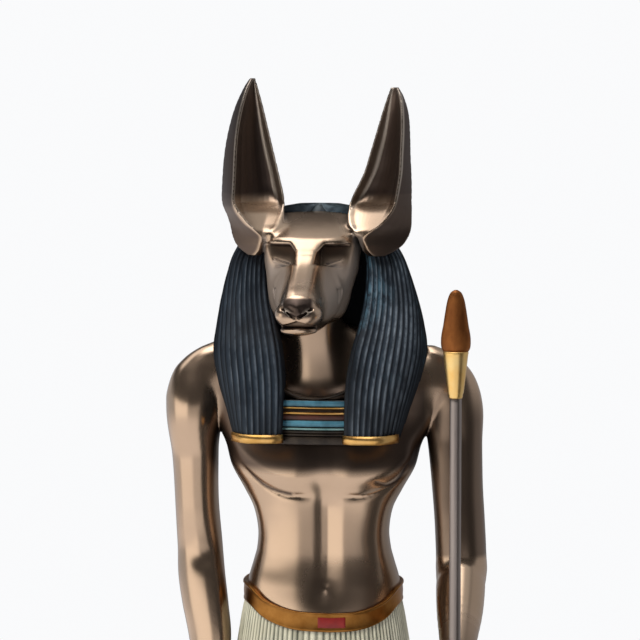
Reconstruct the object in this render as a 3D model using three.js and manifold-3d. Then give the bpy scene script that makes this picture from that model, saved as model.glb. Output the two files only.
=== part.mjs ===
// A standing jackal-headed god of ancient Egypt: a tabletop figure cast in bronze-finished resin,
// with a separate spear held upright in its left fist, on a separate low base.
// Millimetres, +Z up. The figure faces -Y and its left hand is at +X.
// The origin is at the middle of the base's underside.

import * as THREE from "three";
import { mergeVertices } from "three/addons/utils/BufferGeometryUtils.js";
import Module from "manifold-3d";

const wasm = await Module();
wasm.setup();

// Driving dimensions. Heights are measured from the base's underside.
const TOTAL_HEIGHT = 290; // to the tip of the right ear, the taller one
const LEFT_EAR_SHORTER = 2.4;
const BASE = { width: 98, depth: 90, height: 10, edge: 1.2 };
const FIGURE_BACK = 6; // the figure stands this far behind the middle of the base
const HEAD_X = -1.8; // the head sits a little towards the right shoulder
const HEAD_TURN = 0.026; // and the muzzle turns a little the same way
const WIG = { locks: 32, lockDepth: 0.5, bottom: 195.9, tipBand: 2.2, tipProud: 0.5 };
const KILT = { hem: 90, pleats: 36, pleatDepth: 0.55 };
const BELT = { height: 5, proud: 0.9, front: 148, side: 155.8, lowest: -Math.PI / 2 + 0.12 };
const COLLAR = { bottom: 195.2, top: 207.4, halfWidth: 10.5, proud: 0.6 };
const SPEAR = { x: 37.5, y: -34, radius: 1.5, socketFoot: 209, bladeFoot: 221, tip: 237 };
const GRIP_CLEARANCE = 0.3;

// The value of every column of the rows at a key, on a smooth curve through the rows.
function rowAt(rows, key) {
  let i = 0;
  while (i < rows.length - 2 && key > rows[i + 1][0]) i += 1;
  const [low, high] = [rows[i], rows[i + 1]];
  const span = high[0] - low[0];
  const t = Math.min(Math.max((key - low[0]) / span, 0), 1);
  const slope = (j, c) => {
    const before = rows[Math.max(j - 1, 0)];
    const after = rows[Math.min(j + 1, rows.length - 1)];
    return (after[c] - before[c]) / (after[0] - before[0]);
  };
  const cubic = (c) =>
    low[c] * (1 + 2 * t) * (1 - t) ** 2 +
    high[c] * t * t * (3 - 2 * t) +
    span * (slope(i, c) * t * (1 - t) ** 2 - slope(i + 1, c) * t * t * (1 - t));
  return low.map((_, c) => (c === 0 ? key : cubic(c)));
}

// A closed skin through rings of equal length, each counter-clockwise seen from the last ring.
function loft(rings) {
  const sides = rings[0].length;
  const middle = (ring) =>
    ring.reduce((sum, p) => sum.add(p), new THREE.Vector3()).divideScalar(sides);
  const points = [...rings.flat(), middle(rings[0]), middle(rings.at(-1))];
  const index = [];
  for (let j = 0; j + 1 < rings.length; j += 1)
    for (let i = 0; i < sides; i += 1) {
      const [a, b] = [j * sides + i, j * sides + ((i + 1) % sides)];
      index.push(a, b, b + sides, a, b + sides, a + sides);
    }
  const last = (rings.length - 1) * sides;
  for (let i = 0; i < sides; i += 1) {
    const next = (i + 1) % sides;
    index.push(next, i, points.length - 2);
    index.push(last + i, last + next, points.length - 1);
  }
  return new THREE.BufferGeometry().setFromPoints(points).setIndex(index);
}

// A closed geometry as a solid that can be joined and cut.
function solid(geometry) {
  const bare = geometry.index ? geometry.toNonIndexed() : geometry.clone();
  bare.deleteAttribute("normal");
  bare.deleteAttribute("uv");
  const merged = mergeVertices(bare, 1e-4);
  const corners = merged.index.array;
  const triVerts = [];
  for (let i = 0; i < corners.length; i += 3) {
    const [a, b, c] = corners.subarray(i, i + 3);
    if (a !== b && b !== c && a !== c) triVerts.push(a, b, c);
  }
  return new wasm.Manifold(
    new wasm.Mesh({
      numProp: 3,
      vertProperties: merged.attributes.position.array,
      triVerts: new Uint32Array(triVerts),
    }),
  );
}

// The same geometry on the other side of the plane x = 0.
function mirrored(geometry) {
  const other = geometry.clone().scale(-1, 1, 1);
  const corners = other.index.array;
  for (let i = 0; i < corners.length; i += 3)
    [corners[i + 1], corners[i + 2]] = [corners[i + 2], corners[i + 1]];
  return other;
}

const joined = (solids) => solids.reduce((whole, piece) => whole.add(piece));
const rounded = (v, power) => Math.sign(v) * Math.abs(v) ** (2 / power);
const smooth = THREE.MathUtils.smoothstep;

// A level ring: half width across, and its own depth in front and behind.
function levelRing([z, x, y, halfWidth, front, back], sides, power) {
  return Array.from({ length: sides }, (_, i) => {
    const angle = (2 * Math.PI * i) / sides;
    const depth = Math.sin(angle) < 0 ? front : back;
    return new THREE.Vector3(
      x + halfWidth * rounded(Math.cos(angle), power),
      y + depth * rounded(Math.sin(angle), power),
      z,
    );
  });
}

// An upright form through rows of [height, x, y, half width, front depth, back depth].
function column(rows, { sides = 20, levels = 12, power = 2.1 } = {}) {
  const [foot, top] = [rows[0][0], rows.at(-1)[0]];
  const rings = Array.from({ length: levels + 1 }, (_, j) =>
    levelRing(rowAt(rows, foot + ((top - foot) * j) / levels), sides, power),
  );
  return solid(loft(rings));
}

// A round-ended limb along points, each [x, y, z, half width, half depth].
function limb(stations, { sides = 6, steps = 2 } = {}) {
  const path = new THREE.CatmullRomCurve3(stations.map(([x, y, z]) => new THREE.Vector3(x, y, z)));
  const sizes = stations.map(([, , , wide, deep], i) => [i / (stations.length - 1), wide, deep]);
  const ring = (t, push, shrink) => {
    const forward = path.getTangent(t);
    const [, wide, deep] = rowAt(sizes, t);
    const across = new THREE.Vector3(1, 0, 0).addScaledVector(forward, -forward.x).normalize();
    const up = new THREE.Vector3().crossVectors(forward, across);
    const centre = path.getPoint(t).addScaledVector(forward, push * Math.min(wide, deep));
    return Array.from({ length: sides }, (_, i) => {
      const angle = (2 * Math.PI * i) / sides;
      return centre
        .clone()
        .addScaledVector(across, wide * shrink * Math.cos(angle))
        .addScaledVector(up, deep * shrink * Math.sin(angle));
    });
  };
  const run = Array.from({ length: steps + 1 }, (_, j) => ring(j / steps, 0, 1));
  return solid(loft([ring(0, -0.75, 0.6), ...run, ring(1, 0.75, 0.6)]));
}

// An egg of three half sizes, tipped about X by an angle.
function egg([x, y, z], [a, b, c], tip = 0, sides = 12) {
  const ball = new THREE.SphereGeometry(1, sides, Math.ceil(sides * 0.7));
  return solid(ball.scale(a, b, c).rotateX(tip).translate(x, y, z));
}

// How far the chest and belly muscles stand out of the trunk's front at a place.
function trunkRelief(x, z) {
  const across = Math.abs(x);
  const lowerEdge = 179.4 + 0.03 * (across - 9) ** 2;
  const chest =
    smooth(across, 1.5, 6) *
    (1 - smooth(across, 16, 22)) *
    smooth(z, lowerEdge - 0.6, lowerEdge + 1.2) *
    (1 - smooth(z, 188, 206));
  const belly =
    smooth(across, 0.4, 3) *
    (1 - smooth(across, 6, 11)) *
    smooth(z, 150, 158) *
    (1 - smooth(z, 172, 178));
  return 2.3 * chest + 0.9 * belly;
}

// Trunk, shoulders and neck: [height, x, y, half width, front, back].
function trunk() {
  const rows = [
    [144, 0.1, 0, 20.4, 13.6, 14.4],
    [150, 0.2, 0, 20.4, 13.4, 14],
    [157, 0.2, 0, 20.2, 12.8, 12.8],
    [163, 0.2, 0, 18.8, 12, 11.4],
    [170, 0.1, 0, 17.4, 11.6, 10.4],
    [177, 0.1, 0, 18.3, 11.4, 10.8],
    [182, 0, 0, 20.8, 11.8, 11.4],
    [188, 0, 0, 24.8, 12.6, 12.4],
    [195, 0, 0, 28.2, 13.4, 13.4],
    [203, 0, 0.4, 31, 13.2, 13.6],
    [210, 0, 0.8, 32, 11.8, 12.8],
    [216, 0, 1.2, 27.6, 9.6, 10.8],
    [221, 0, 1.6, 17, 8, 9],
    [225, 0, 1.8, 9, 6.6, 7],
  ];
  const front = [-90, -81, -70, -58, -44, -28, -12];
  const rightHalf = [...front, 6, 26, 48, 70];
  const angles = [...rightHalf, 90, ...rightHalf.slice(1).map((angle) => 180 - angle).reverse()];
  const levels = [144, 151, 158, 164, 170, 176, 179, 181, 184.5, 190, 196, 203, 210, 216, 221, 225];
  const rings = levels.map((z) => {
    const [, x, y, halfWidth, depthFront, depthBack] = rowAt(rows, z);
    return angles.map((degrees) => {
      const angle = (degrees * Math.PI) / 180;
      const depth = Math.sin(angle) < 0 ? depthFront : depthBack;
      const across = halfWidth * rounded(Math.cos(angle), 2.35);
      const relief = Math.max(0, -Math.sin(angle)) ** 0.5 * trunkRelief(across, z);
      return new THREE.Vector3(x + across, y + depth * rounded(Math.sin(angle), 2.35) - relief, z);
    });
  });
  const neck = [
    [206, -0.8, -1.5, 7.4, 8.4, 7],
    [216, -1.2, -2.4, 6.8, 7.2, 7],
    [226, -1.6, -3.8, 6.6, 6.8, 7],
    [238, HEAD_X, -4, 7.4, 7, 7],
  ];
  return [solid(loft(rings)), column(neck, { sides: 12, levels: 3 })];
}

// Both arms: the right one hangs straight down, the left one bends forward at the elbow.
function arms() {
  const right = [
    [112, -29.6, -7.6, 3.4, 4.4, 4.4],
    [121, -29.4, -6.8, 3.6, 4.3, 4.3],
    [127, -29.3, -6, 4.1, 4.6, 4.6],
    [135, -29.5, -4.4, 5, 5.4, 5.4],
    [143, -30, -3, 6, 6.1, 6.1],
    [151, -31.4, -1.8, 6.5, 6.4, 6.4],
    [158.5, -32.6, -0.4, 6.6, 6.6, 6.4],
    [166, -33.3, 0.8, 6.2, 6.4, 6.4],
    [177, -34.1, 1.2, 5.9, 6.4, 6.4],
    [187, -34.4, 1, 6.1, 6.8, 6.6],
    [198, -34.8, 0.6, 6.8, 7.6, 7.4],
    [207, -34.1, 0.4, 8.2, 8.6, 8.4],
    [213, -33, 0.6, 8, 8.4, 8.2],
    [217, -31.4, 1, 6.8, 7, 7],
    [219.6, -29.8, 1.2, 5, 5, 5],
    [221.4, -28.6, 1.4, 2, 2, 2],
  ];
  const left = [
    [153.5, 37, 4, 2.6, 3, 3],
    [156, 37, 3.6, 5, 5, 5],
    [161, 37, 3.2, 6.5, 6.2, 6.4],
    [171, 36.5, 2.4, 6.6, 6.6, 6.6],
    [183, 35.6, 1.8, 6.6, 7, 6.8],
    [194, 34.6, 1, 7.3, 7.8, 7.6],
    [204, 33.9, 0.6, 8.1, 8.6, 8.4],
    [212, 33, 0.6, 8, 8.4, 8.2],
    [217, 31.4, 0.9, 6.8, 7, 7],
    [219.6, 29.8, 1.2, 5, 5, 5],
    [221.4, 28.4, 1.4, 2, 2, 2],
  ];
  const forearm = limb(
    [
      [37, 2, 161, 6.2, 6],
      [37.1, -5, 157, 6.8, 6.4],
      [37.5, -14, 152, 6.4, 5.8],
      [38, -22, 147.4, 5.4, 5],
      [38.3, -30, 142.8, 4.6, 4.6],
    ],
    { sides: 12, steps: 6 },
  );
  return [column(right, { sides: 12, levels: 15 }), column(left, { sides: 12, levels: 10 }), forearm];
}

// A closed fist about the origin: four fingers side by side up the Z axis.
function fist(halfWidth, halfDepth, halfLength) {
  const sides = 10;
  const bulges = [0.62, 0.96, 0.88, 1, 0.9, 1, 0.9, 0.94, 0.6];
  const rings = bulges.map((bulge, j) =>
    levelRing(
      [halfLength * (j / 4 - 1), 0, 0, halfWidth * bulge, halfDepth * bulge, halfDepth * bulge],
      sides,
      2.6,
    ),
  );
  return loft(rings);
}

// The right hand is a plain fist beside the thigh, the left one is closed round the spear.
function hands() {
  const { x, y } = SPEAR;
  return [
    solid(fist(4.3, 5.4, 6.2).rotateX(Math.PI / 2).translate(-30, -7.6, 112.4)),
    limb([[-29.4, -12.4, 117.6, 1.9, 1.9], [-31, -13.4, 109.4, 1.7, 1.7]]),
    solid(fist(5.2, 5.2, 6.6).translate(x + 0.5, y + 0.4, 140.4)),
    limb([[x - 1, y + 4.8, 146, 2, 2], [x - 3.2, y - 2.4, 146.6, 1.7, 1.7]]),
  ];
}

// Bare legs below the kilt, the left one a step ahead, with feet flat on the base.
function legs() {
  const sole = BASE.height;
  const parts = [];
  const stride = [
    { side: -1, hip: 0, knee: 6.6, ankle: 15 },
    { side: 1, hip: -3, knee: -10, ankle: -12 },
  ];
  for (const { side, hip, knee, ankle } of stride) {
    const x = side * 9.4;
    const rows = [
      [sole + 3, x, ankle, 4.2, 4.6, 5],
      [sole + 11, x, ankle, 3.7, 4.2, 4.6],
      [sole + 20, x, ankle - 0.3, 3.9, 4.4, 4.8],
      [sole + 34, x - side * 0.1, ankle * 0.72 + knee * 0.28, 5.2, 5.2, 6.4],
      [sole + 48, x - side * 0.2, ankle * 0.45 + knee * 0.55, 6.3, 5.8, 7.6],
      [sole + 59, x - side * 0.3, ankle * 0.2 + knee * 0.8, 5.9, 5.9, 6.6],
      [sole + 69, x - side * 0.4, knee, 5.9, 6.6, 6],
      [sole + 78, x - side * 0.6, knee * 0.85 + hip * 0.15, 6.7, 6.9, 7],
      [sole + 95, x - side * 0.8, knee * 0.5 + hip * 0.5, 8.6, 8.8, 9],
      [sole + 118, x - side, hip, 10, 10, 10.4],
    ];
    parts.push(column(rows, { sides: 12, levels: 12 }));
    parts.push(...foot(x, ankle, side));
  }
  return parts;
}

// A bare foot from heel to toes, by rows of
// [distance ahead of the ankle, half width, top of the foot above the sole].
function foot(x, ankle, side) {
  const sole = BASE.height;
  const turnOut = side * 0.06;
  const rows = [
    [-9, 1.6, 3.4],
    [-7.6, 3.2, 6.4],
    [-3, 4.1, 11],
    [3, 4.2, 11.4],
    [9, 4.7, 8],
    [16, 5.6, 5.2],
    [21, 5.9, 4],
  ];
  const sides = 10;
  const rings = Array.from({ length: 8 }, (_, j) => {
    const ahead = 21 - (j * 30) / 7;
    const [, half, top] = rowAt(rows, ahead);
    return Array.from({ length: sides }, (_, i) => {
      const angle = (2 * Math.PI * i) / sides;
      const lift = Math.sin(angle);
      return new THREE.Vector3(
        x + turnOut * ahead - half * rounded(Math.cos(angle), 2.4),
        ankle - ahead,
        sole + Math.max(0, (top / 2) * (1 + lift * (lift < 0 ? 1.3 : 1))),
      );
    });
  });
  const toes = [6.4, 6, 5.2, 4.2, 3].map((length, i) => {
    const wide = i === 0 ? 1.7 : 1.15;
    const across = x + turnOut * 22 - side * (4.2 - (i === 0 ? 0 : 0.8 + i * 2.25));
    const start = ankle - 19 + i * 0.7;
    const joints = [
      [across, start, sole + 1.9, wide, 1.7],
      [across, start - length, sole + 1.35, wide, 1.3],
    ];
    return limb(joints, { sides: 5, steps: 1 });
  });
  const floor = solid(new THREE.BoxGeometry(60, 120, 20).translate(x, 0, sole - 10));
  return [solid(loft(rings)), ...toes].map((piece) => piece.subtract(floor));
}

// The middle of the belt at an angle round the waist: it dips in front, a little to the left side.
function beltHeight(angle) {
  const turn = Math.abs(Math.atan2(Math.sin(angle - BELT.lowest), Math.cos(angle - BELT.lowest)));
  const rows = [
    [0, BELT.front],
    [0.35, BELT.front + 0.5],
    [0.75, BELT.front + 2.6],
    [1.15, BELT.front + 5.6],
    [1.6, BELT.side],
    [2.3, BELT.side + 0.6],
    [Math.PI, BELT.side + 0.6],
  ];
  return rowAt(rows, turn)[1];
}

// The waist, belt and kilt share one outline: [height, half width, front, back].
function hipRow(z) {
  const rows = [
    [90, 25.4, 20.4, 19.4],
    [105, 25.8, 19.4, 19],
    [120, 25.2, 17.6, 18],
    [135, 23.8, 15.8, 16.8],
    [148, 21.8, 14.6, 15.6],
    [153, 20.8, 14.2, 14.8],
    [158, 20, 13.6, 13.8],
    [164, 18.6, 12.8, 12.4],
  ];
  return rowAt(rows, z);
}

// A place on that outline, or a little way out from it.
function hipPoint(angle, z, proud) {
  const [, halfWidth, front, back] = hipRow(z);
  const depth = Math.sin(angle) < 0 ? front : back;
  return new THREE.Vector3(
    (halfWidth + proud) * rounded(Math.cos(angle), 2.3),
    (depth + proud) * rounded(Math.sin(angle), 2.3),
    z,
  );
}

// A pleated kilt from the belt to above the knees.
function kilt() {
  const sides = KILT.pleats * 2;
  const levels = 3;
  const rings = Array.from({ length: levels + 1 }, (_, j) =>
    Array.from({ length: sides }, (_, i) => {
      const angle = (2 * Math.PI * i) / sides;
      const z = KILT.hem + (beltHeight(angle) - KILT.hem) * (j / levels);
      return hipPoint(angle, z, i % 2 ? -KILT.pleatDepth : 0);
    }),
  );
  return solid(loft(rings));
}

// The belt is a raised band that follows the kilt's upper edge.
function belt() {
  const sides = 40;
  const half = BELT.height / 2;
  const edges = [
    [-half, -2],
    [-half, BELT.proud],
    [half, BELT.proud],
    [half, -2],
  ];
  const rings = edges.map(([rise, proud]) =>
    Array.from({ length: sides }, (_, i) => {
      const angle = (2 * Math.PI * i) / sides;
      return hipPoint(angle, beltHeight(angle) + rise, proud);
    }),
  );
  return solid(loft(rings));
}

// The broad collar that shows between the wig's two front lappets, with raised bands.
function collar() {
  const bands = [
    [195.2, 197.4],
    [198.8, 201],
    [203.2, 205.6],
  ];
  const edge = 0.25;
  const profile = bands.flatMap(([low, high]) => [
    [low, 0],
    [low + edge, COLLAR.proud],
    [high - edge, COLLAR.proud],
    [high, 0],
  ]);
  profile.push([COLLAR.top, 0]);
  const columns = 5;
  const rings = Array.from({ length: columns + 1 }, (_, i) => {
    const x = -COLLAR.halfWidth + (2 * COLLAR.halfWidth * i) / columns;
    const outer = profile.map(([z, raised]) => {
      const chest = 14.9 - ((z - COLLAR.bottom) / 12) * 2.6 - (x / 16) ** 2 * 2;
      return new THREE.Vector3(x - 0.7, -chest - raised, z);
    });
    const inner = [COLLAR.top, COLLAR.bottom].map((z) => new THREE.Vector3(x - 0.7, -4, z));
    return [...outer, ...inner].reverse();
  });
  return solid(loft(rings));
}

// Half of the wig's level outline, from the middle of the back to the inner edge of the left lappet.
function wigSide(halfWidth, back, front, gap) {
  const corner = Math.min(1.6, (halfWidth - gap) * 0.25);
  return [
    [0, back],
    [halfWidth * 0.42, back * 0.93],
    [halfWidth * 0.78, back * 0.66],
    [halfWidth * 0.96, back * 0.24],
    [halfWidth, -front * 0.22],
    [halfWidth * 0.96, -front * 0.68],
    [halfWidth * 0.85, -front * 0.92],
    [halfWidth * 0.5 + (gap + corner) * 0.5, -front * 1.01],
    [gap + corner, -front],
    [gap, -front + corner],
  ].map(([x, y]) => new THREE.Vector3(x, y, 0));
}

// The striped wig: a cap that spreads over the shoulders and ends in two lappets on the chest.
function wig() {
  // [height, centre x, half width, back, front, half gap between lappets, depth of the gap's wall]
  const rows = [
    [WIG.bottom, -0.8, 21.4, 16.6, 17.6, 8.3, 7],
    [198, -0.8, 22.2, 17, 17.6, 8.4, 7],
    [204, -0.7, 23.9, 17.6, 17.2, 8.5, 6],
    [211, -0.6, 26.2, 18.2, 16.4, 8.6, 3],
    [219, -0.5, 27.9, 18.6, 14.8, 8.9, 0],
    [226, -0.7, 27.2, 18.5, 12.8, 9.5, 0],
    [232, -1, 26, 18.2, 11.2, 10.4, 0],
    [238, -1.2, 24.4, 17.8, 10, 11.2, 0],
    [244, -1.4, 22.2, 17, 9.2, 10.6, 0],
    [249, -1.5, 19.2, 15.6, 8.8, 8, 0],
    [252.6, -1.6, 15.6, 13.6, 8.6, 5, 0],
    [255.2, -1.7, 11, 10.6, 8, 2.4, 0],
    [256.6, -1.7, 6, 6.4, 5.6, 1, 0],
    [257, -1.7, 2, 2.4, 2, 0.4, 0],
  ];
  const tips = WIG.bottom + WIG.tipBand;
  const levels = [WIG.bottom, tips, tips + 0.02, 204, 211, 218, 225, 233, 241, 247, 252, 255.2, 257];
  const spans = WIG.locks * 2;
  const rings = levels.map((z) => {
    const [, centre, halfWidth, back, front, gap, wall] = rowAt(rows, z);
    const half = wigSide(halfWidth, back, front, gap);
    const other = half.slice(1).map((p) => new THREE.Vector3(-p.x, p.y, 0));
    const outline = new THREE.CatmullRomCurve3([...other.reverse(), ...half]);
    const groove = -WIG.lockDepth * Math.min(1, halfWidth / 12);
    const outer = outline.getSpacedPoints(spans).map((p, i) => {
      const along = outline.getTangentAt(i / spans);
      const onTip = z <= tips && p.y < -front * 0.6;
      const push = onTip ? WIG.tipProud : (z > tips) * (i % 2) * groove;
      return new THREE.Vector3(p.x + centre + along.y * push, p.y - along.x * push, z);
    });
    const inner = [gap, 0, -gap].map((x) => new THREE.Vector3(x + centre, -wall, z));
    return [...outer, ...inner].reverse();
  });
  return solid(loft(rings));
}

// The jackal's head with a long muzzle, along rows of
// [distance in front of the trunk's middle, half width, top, bottom, how much the lower half narrows].
function head() {
  const rows = [
    [-12, 7, 250, 232, 0],
    [-5, 11.4, 254, 228, 0.1],
    [2, 12.8, 256, 226, 0.28],
    [8.5, 12.9, 255.4, 225.2, 0.42],
    [11.8, 12.5, 252, 224.8, 0.48],
    [14.4, 10.8, 247.6, 224.6, 0.42],
    [17.4, 8.4, 244.6, 224.5, 0.26],
    [22, 6.9, 241.8, 224.6, 0.16],
    [27.5, 6.3, 238.8, 225, 0.1],
    [31.4, 6, 236.6, 225.6, 0.06],
    [33.8, 5, 235, 227, 0],
    [34.8, 2.8, 233.4, 229.2, 0],
  ];
  const sides = 16;
  const steps = 17;
  const rings = Array.from({ length: steps + 1 }, (_, j) => {
    const ahead = -12 + (46.8 * j) / steps;
    const [, half, top, bottom, narrow] = rowAt(rows, ahead);
    const middle = bottom + (top - bottom) * 0.55;
    return Array.from({ length: sides }, (_, i) => {
      const angle = (2 * Math.PI * i) / sides;
      const rise = rounded(Math.sin(angle), 2.7);
      const z = middle + rise * (rise > 0 ? top - middle : middle - bottom);
      const wide = half * rounded(Math.cos(angle), 2.7) * (1 + narrow * Math.min(rise, 0));
      return new THREE.Vector3(HEAD_X - HEAD_TURN * ahead + wide, -ahead, z);
    });
  });
  const at = (side, across, ahead, z) => [HEAD_X - HEAD_TURN * ahead + side * across, -ahead, z];
  const browHeight = 247.4;
  const brow = solid(new THREE.BoxGeometry(40, 40, 40).translate(0, -10, browHeight + 20));
  const sockets = [-1, 1].map((side) =>
    egg(at(side, 7.8, 15, 243.8), [4.5, 3.3, 4.2], 0.2, 10).subtract(brow),
  );
  const eyes = [-1, 1].map((side) => egg(at(side, 7.5, 11.8, 243.4), [3.3, 2.3, 1.6], 0, 7));
  const mouth = egg(at(0, 0, 31.6, 228.6), [7, 5, 0.5], 0, 8);
  const nose = egg(at(0, 0, 33.6, 233.6), [3.4, 2.3, 2.2], 0.3, 8);
  let skull = solid(loft(rings));
  for (const hollow of sockets) skull = skull.subtract(hollow);
  skull = joined([skull, ...eyes, nose]).subtract(mouth);
  return skull;
}

// One tall ear at +x of the head, scooped in front, with its outer rim folded back from a sharp ridge.
function ear(tip, spread) {
  // [height, inner edge, ridge, outer edge, y of the inner edge, y of the ridge, y of the outer edge]
  const rows = [
    [243.8, 16.4, 17.6, 18.8, -6, -6.6, -5],
    [245.6, 14.2, 17, 20.6, -6.2, -8, -4.4],
    [248.4, 12, 16.4, 22.8, -6.4, -8.6, -3.4],
    [251.6, 9.6, 15.6, 24, -5.4, -8.8, -2.4],
    [255.6, 8, 18.6, 24.7, -3, -7.8, -1.6],
    [259, 9, 20.4, 24.9, -1, -6.6, -1],
    [264, 10.3, 21.1, 24.8, 0, -5.6, -0.6],
    [270, 11.9, 21.2, 24.4, 0.4, -4.8, -0.4],
    [276, 13.5, 20.9, 23.5, 0.6, -4, -0.2],
    [282, 15.1, 20.1, 22, 0.8, -2.8, 0.2],
    [287, 16.6, 19, 19.9, 1, -1, 0.6],
    [289.4, 17.4, 18, 18.4, 1.1, 0.6, 1],
  ];
  const [root, top] = [rows[0][0], rows.at(-1)[0]];
  const steps = 11;
  const rings = Array.from({ length: steps + 1 }, (_, j) => {
    const up = root + ((top - root) * j) / steps;
    const lean = spread * smooth(up, 254, 268);
    const curl = spread * 0.8 * smooth(up, 268, 290);
    const row = rowAt(rows, up);
    const [inner, ridge, outer] = [row[1] + lean, row[2] + lean * 0.7 + curl, row[3] + curl * 1.6];
    const [yInner, yRidge, yOuter] = row.slice(4);
    const wide = outer - inner;
    const scoop = Math.min(1, Math.max(0, (up - 250) / 8)) * wide * 0.16;
    const behind = Math.min(5.2, wide * 0.36);
    const plan = [
      [inner, yInner],
      [inner * 0.7 + ridge * 0.3, yInner * 0.62 + yRidge * 0.38 + scoop * 1.3],
      [inner * 0.4 + ridge * 0.6, yInner * 0.34 + yRidge * 0.66 + scoop * 1.2],
      [inner * 0.14 + ridge * 0.86, yInner * 0.12 + yRidge * 0.88 + scoop * 0.6],
      [ridge, yRidge],
      [ridge * 0.4 + outer * 0.6, yRidge * 0.5 + yOuter * 0.5],
      [outer, yOuter],
      [outer - wide * 0.06, yOuter + behind * 0.5],
      [outer - wide * 0.26, yOuter + behind * 0.92],
      [outer - wide * 0.52, yOuter + behind],
      [outer - wide * 0.8, Math.max(yInner, yOuter) + behind * 0.6],
      [inner + wide * 0.02, yInner + behind * 0.26],
    ];
    const z = up > 256 ? 256 + ((up - 256) * (tip - 256)) / (top - 256) : up;
    return plan.map(([x, y]) => new THREE.Vector3(x, y, z));
  });
  return loft(rings);
}

// Both ears; the left one is a little shorter and leans further out.
function ears() {
  const right = mirrored(ear(TOTAL_HEIGHT, 0));
  const left = ear(TOTAL_HEIGHT - LEFT_EAR_SHORTER, 1.5);
  return [right, left].map((geometry) => solid(geometry.translate(HEAD_X, 0, 0)));
}

// The whole figure is one casting, with a hole through the left fist for the spear.
function figure() {
  const whole = joined([
    ...trunk(),
    ...arms(),
    ...hands(),
    ...legs(),
    kilt(),
    belt(),
    collar(),
    wig(),
    head(),
    ...ears(),
  ]);
  const radius = SPEAR.radius + GRIP_CLEARANCE;
  const hole = new THREE.CylinderGeometry(radius, radius, 60, 16)
    .rotateX(Math.PI / 2)
    .translate(SPEAR.x, SPEAR.y, 145);
  return whole.subtract(solid(hole)).translate([0, FIGURE_BACK, 0]);
}

// The spear: a thin rod that stands on the base, a tapered socket and a four-sided blade.
function spear() {
  const { radius, socketFoot, bladeFoot, tip } = SPEAR;
  const sides = 12;
  const rows = [
    // [height, half width, half depth]
    [BASE.height, radius * 0.6, radius * 0.6],
    [BASE.height + 1, radius, radius],
    [socketFoot, radius, radius],
    [socketFoot + 0.02, radius * 1.15, radius * 1.15],
    [bladeFoot, 3.3, 2.9],
    [bladeFoot + 0.1, 3.7, 2.6],
    [bladeFoot + 1.2, 3.85, 2.5],
    [bladeFoot + 7, 2.9, 1.9],
    [bladeFoot + 12, 1.9, 1.3],
    [tip - 1, 1, 0.8],
    [tip, 0.4, 0.4],
  ];
  const rings = rows.map(([z, wide, deep]) =>
    levelRing([z, SPEAR.x, SPEAR.y, wide, deep, deep], sides, z > bladeFoot ? 1.5 : 2),
  );
  return solid(loft(rings)).translate([0, FIGURE_BACK, 0]);
}

// A plain low block with softened edges.
function base() {
  const { width, depth, height, edge } = BASE;
  const slab = new THREE.Shape();
  slab.moveTo(-width / 2 + edge, -depth / 2 + edge);
  slab.lineTo(width / 2 - edge, -depth / 2 + edge);
  slab.lineTo(width / 2 - edge, depth / 2 - edge);
  slab.lineTo(-width / 2 + edge, depth / 2 - edge);
  slab.closePath();
  const block = new THREE.ExtrudeGeometry(slab, {
    depth: height - 2 * edge,
    bevelThickness: edge,
    bevelSize: edge,
    bevelSegments: 3,
  });
  return solid(block.translate(0, 0, edge));
}

// A finished solid as a named mesh of the scene.
function meshOf(name, piece, colour, roughness, metalness) {
  const { numProp, numVert, vertProperties, triVerts } = piece.getMesh();
  const position = new Float32Array(numVert * 3);
  for (let i = 0; i < numVert; i += 1)
    position.set(vertProperties.subarray(i * numProp, i * numProp + 3), i * 3);
  const geometry = new THREE.BufferGeometry()
    .setAttribute("position", new THREE.BufferAttribute(position, 3))
    .setIndex(new THREE.BufferAttribute(triVerts, 1));
  const material = new THREE.MeshStandardMaterial({ color: colour, roughness, metalness });
  const mesh = new THREE.Mesh(geometry, material);
  mesh.name = name;
  return mesh;
}

const statue = new THREE.Group();
statue.add(meshOf("figure", figure(), 0x8a6f5c, 0.35, 0.8));
statue.add(meshOf("spear", spear(), 0x8d8078, 0.35, 0.8));
statue.add(meshOf("base", base(), 0x4a3a30, 0.45, 0.6));

export default statue;
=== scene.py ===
# The looks of a jackal-headed god: a tabletop figure cast in bronze-finished resin, part painted,
# with a separate spear in its left fist, on a separate low base.
# Sizes are in millimetres in the figure's own place and become metres when a mesh is made.

import math

import bpy
import numpy as np
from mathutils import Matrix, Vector


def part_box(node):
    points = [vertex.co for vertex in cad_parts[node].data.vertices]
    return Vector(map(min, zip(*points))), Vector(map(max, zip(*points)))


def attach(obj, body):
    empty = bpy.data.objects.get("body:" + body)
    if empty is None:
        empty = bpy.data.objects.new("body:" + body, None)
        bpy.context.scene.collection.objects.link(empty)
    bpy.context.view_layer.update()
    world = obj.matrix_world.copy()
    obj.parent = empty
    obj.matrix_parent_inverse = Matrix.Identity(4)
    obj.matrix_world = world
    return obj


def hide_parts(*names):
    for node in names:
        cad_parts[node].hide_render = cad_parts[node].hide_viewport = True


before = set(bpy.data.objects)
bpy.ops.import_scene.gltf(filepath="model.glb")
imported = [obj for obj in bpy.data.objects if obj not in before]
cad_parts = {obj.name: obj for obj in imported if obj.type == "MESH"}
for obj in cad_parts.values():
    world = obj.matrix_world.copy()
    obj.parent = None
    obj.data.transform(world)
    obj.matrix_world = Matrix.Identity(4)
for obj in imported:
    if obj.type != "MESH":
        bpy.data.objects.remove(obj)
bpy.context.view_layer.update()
bpy.ops.object.select_all(action="DESELECT")

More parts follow.
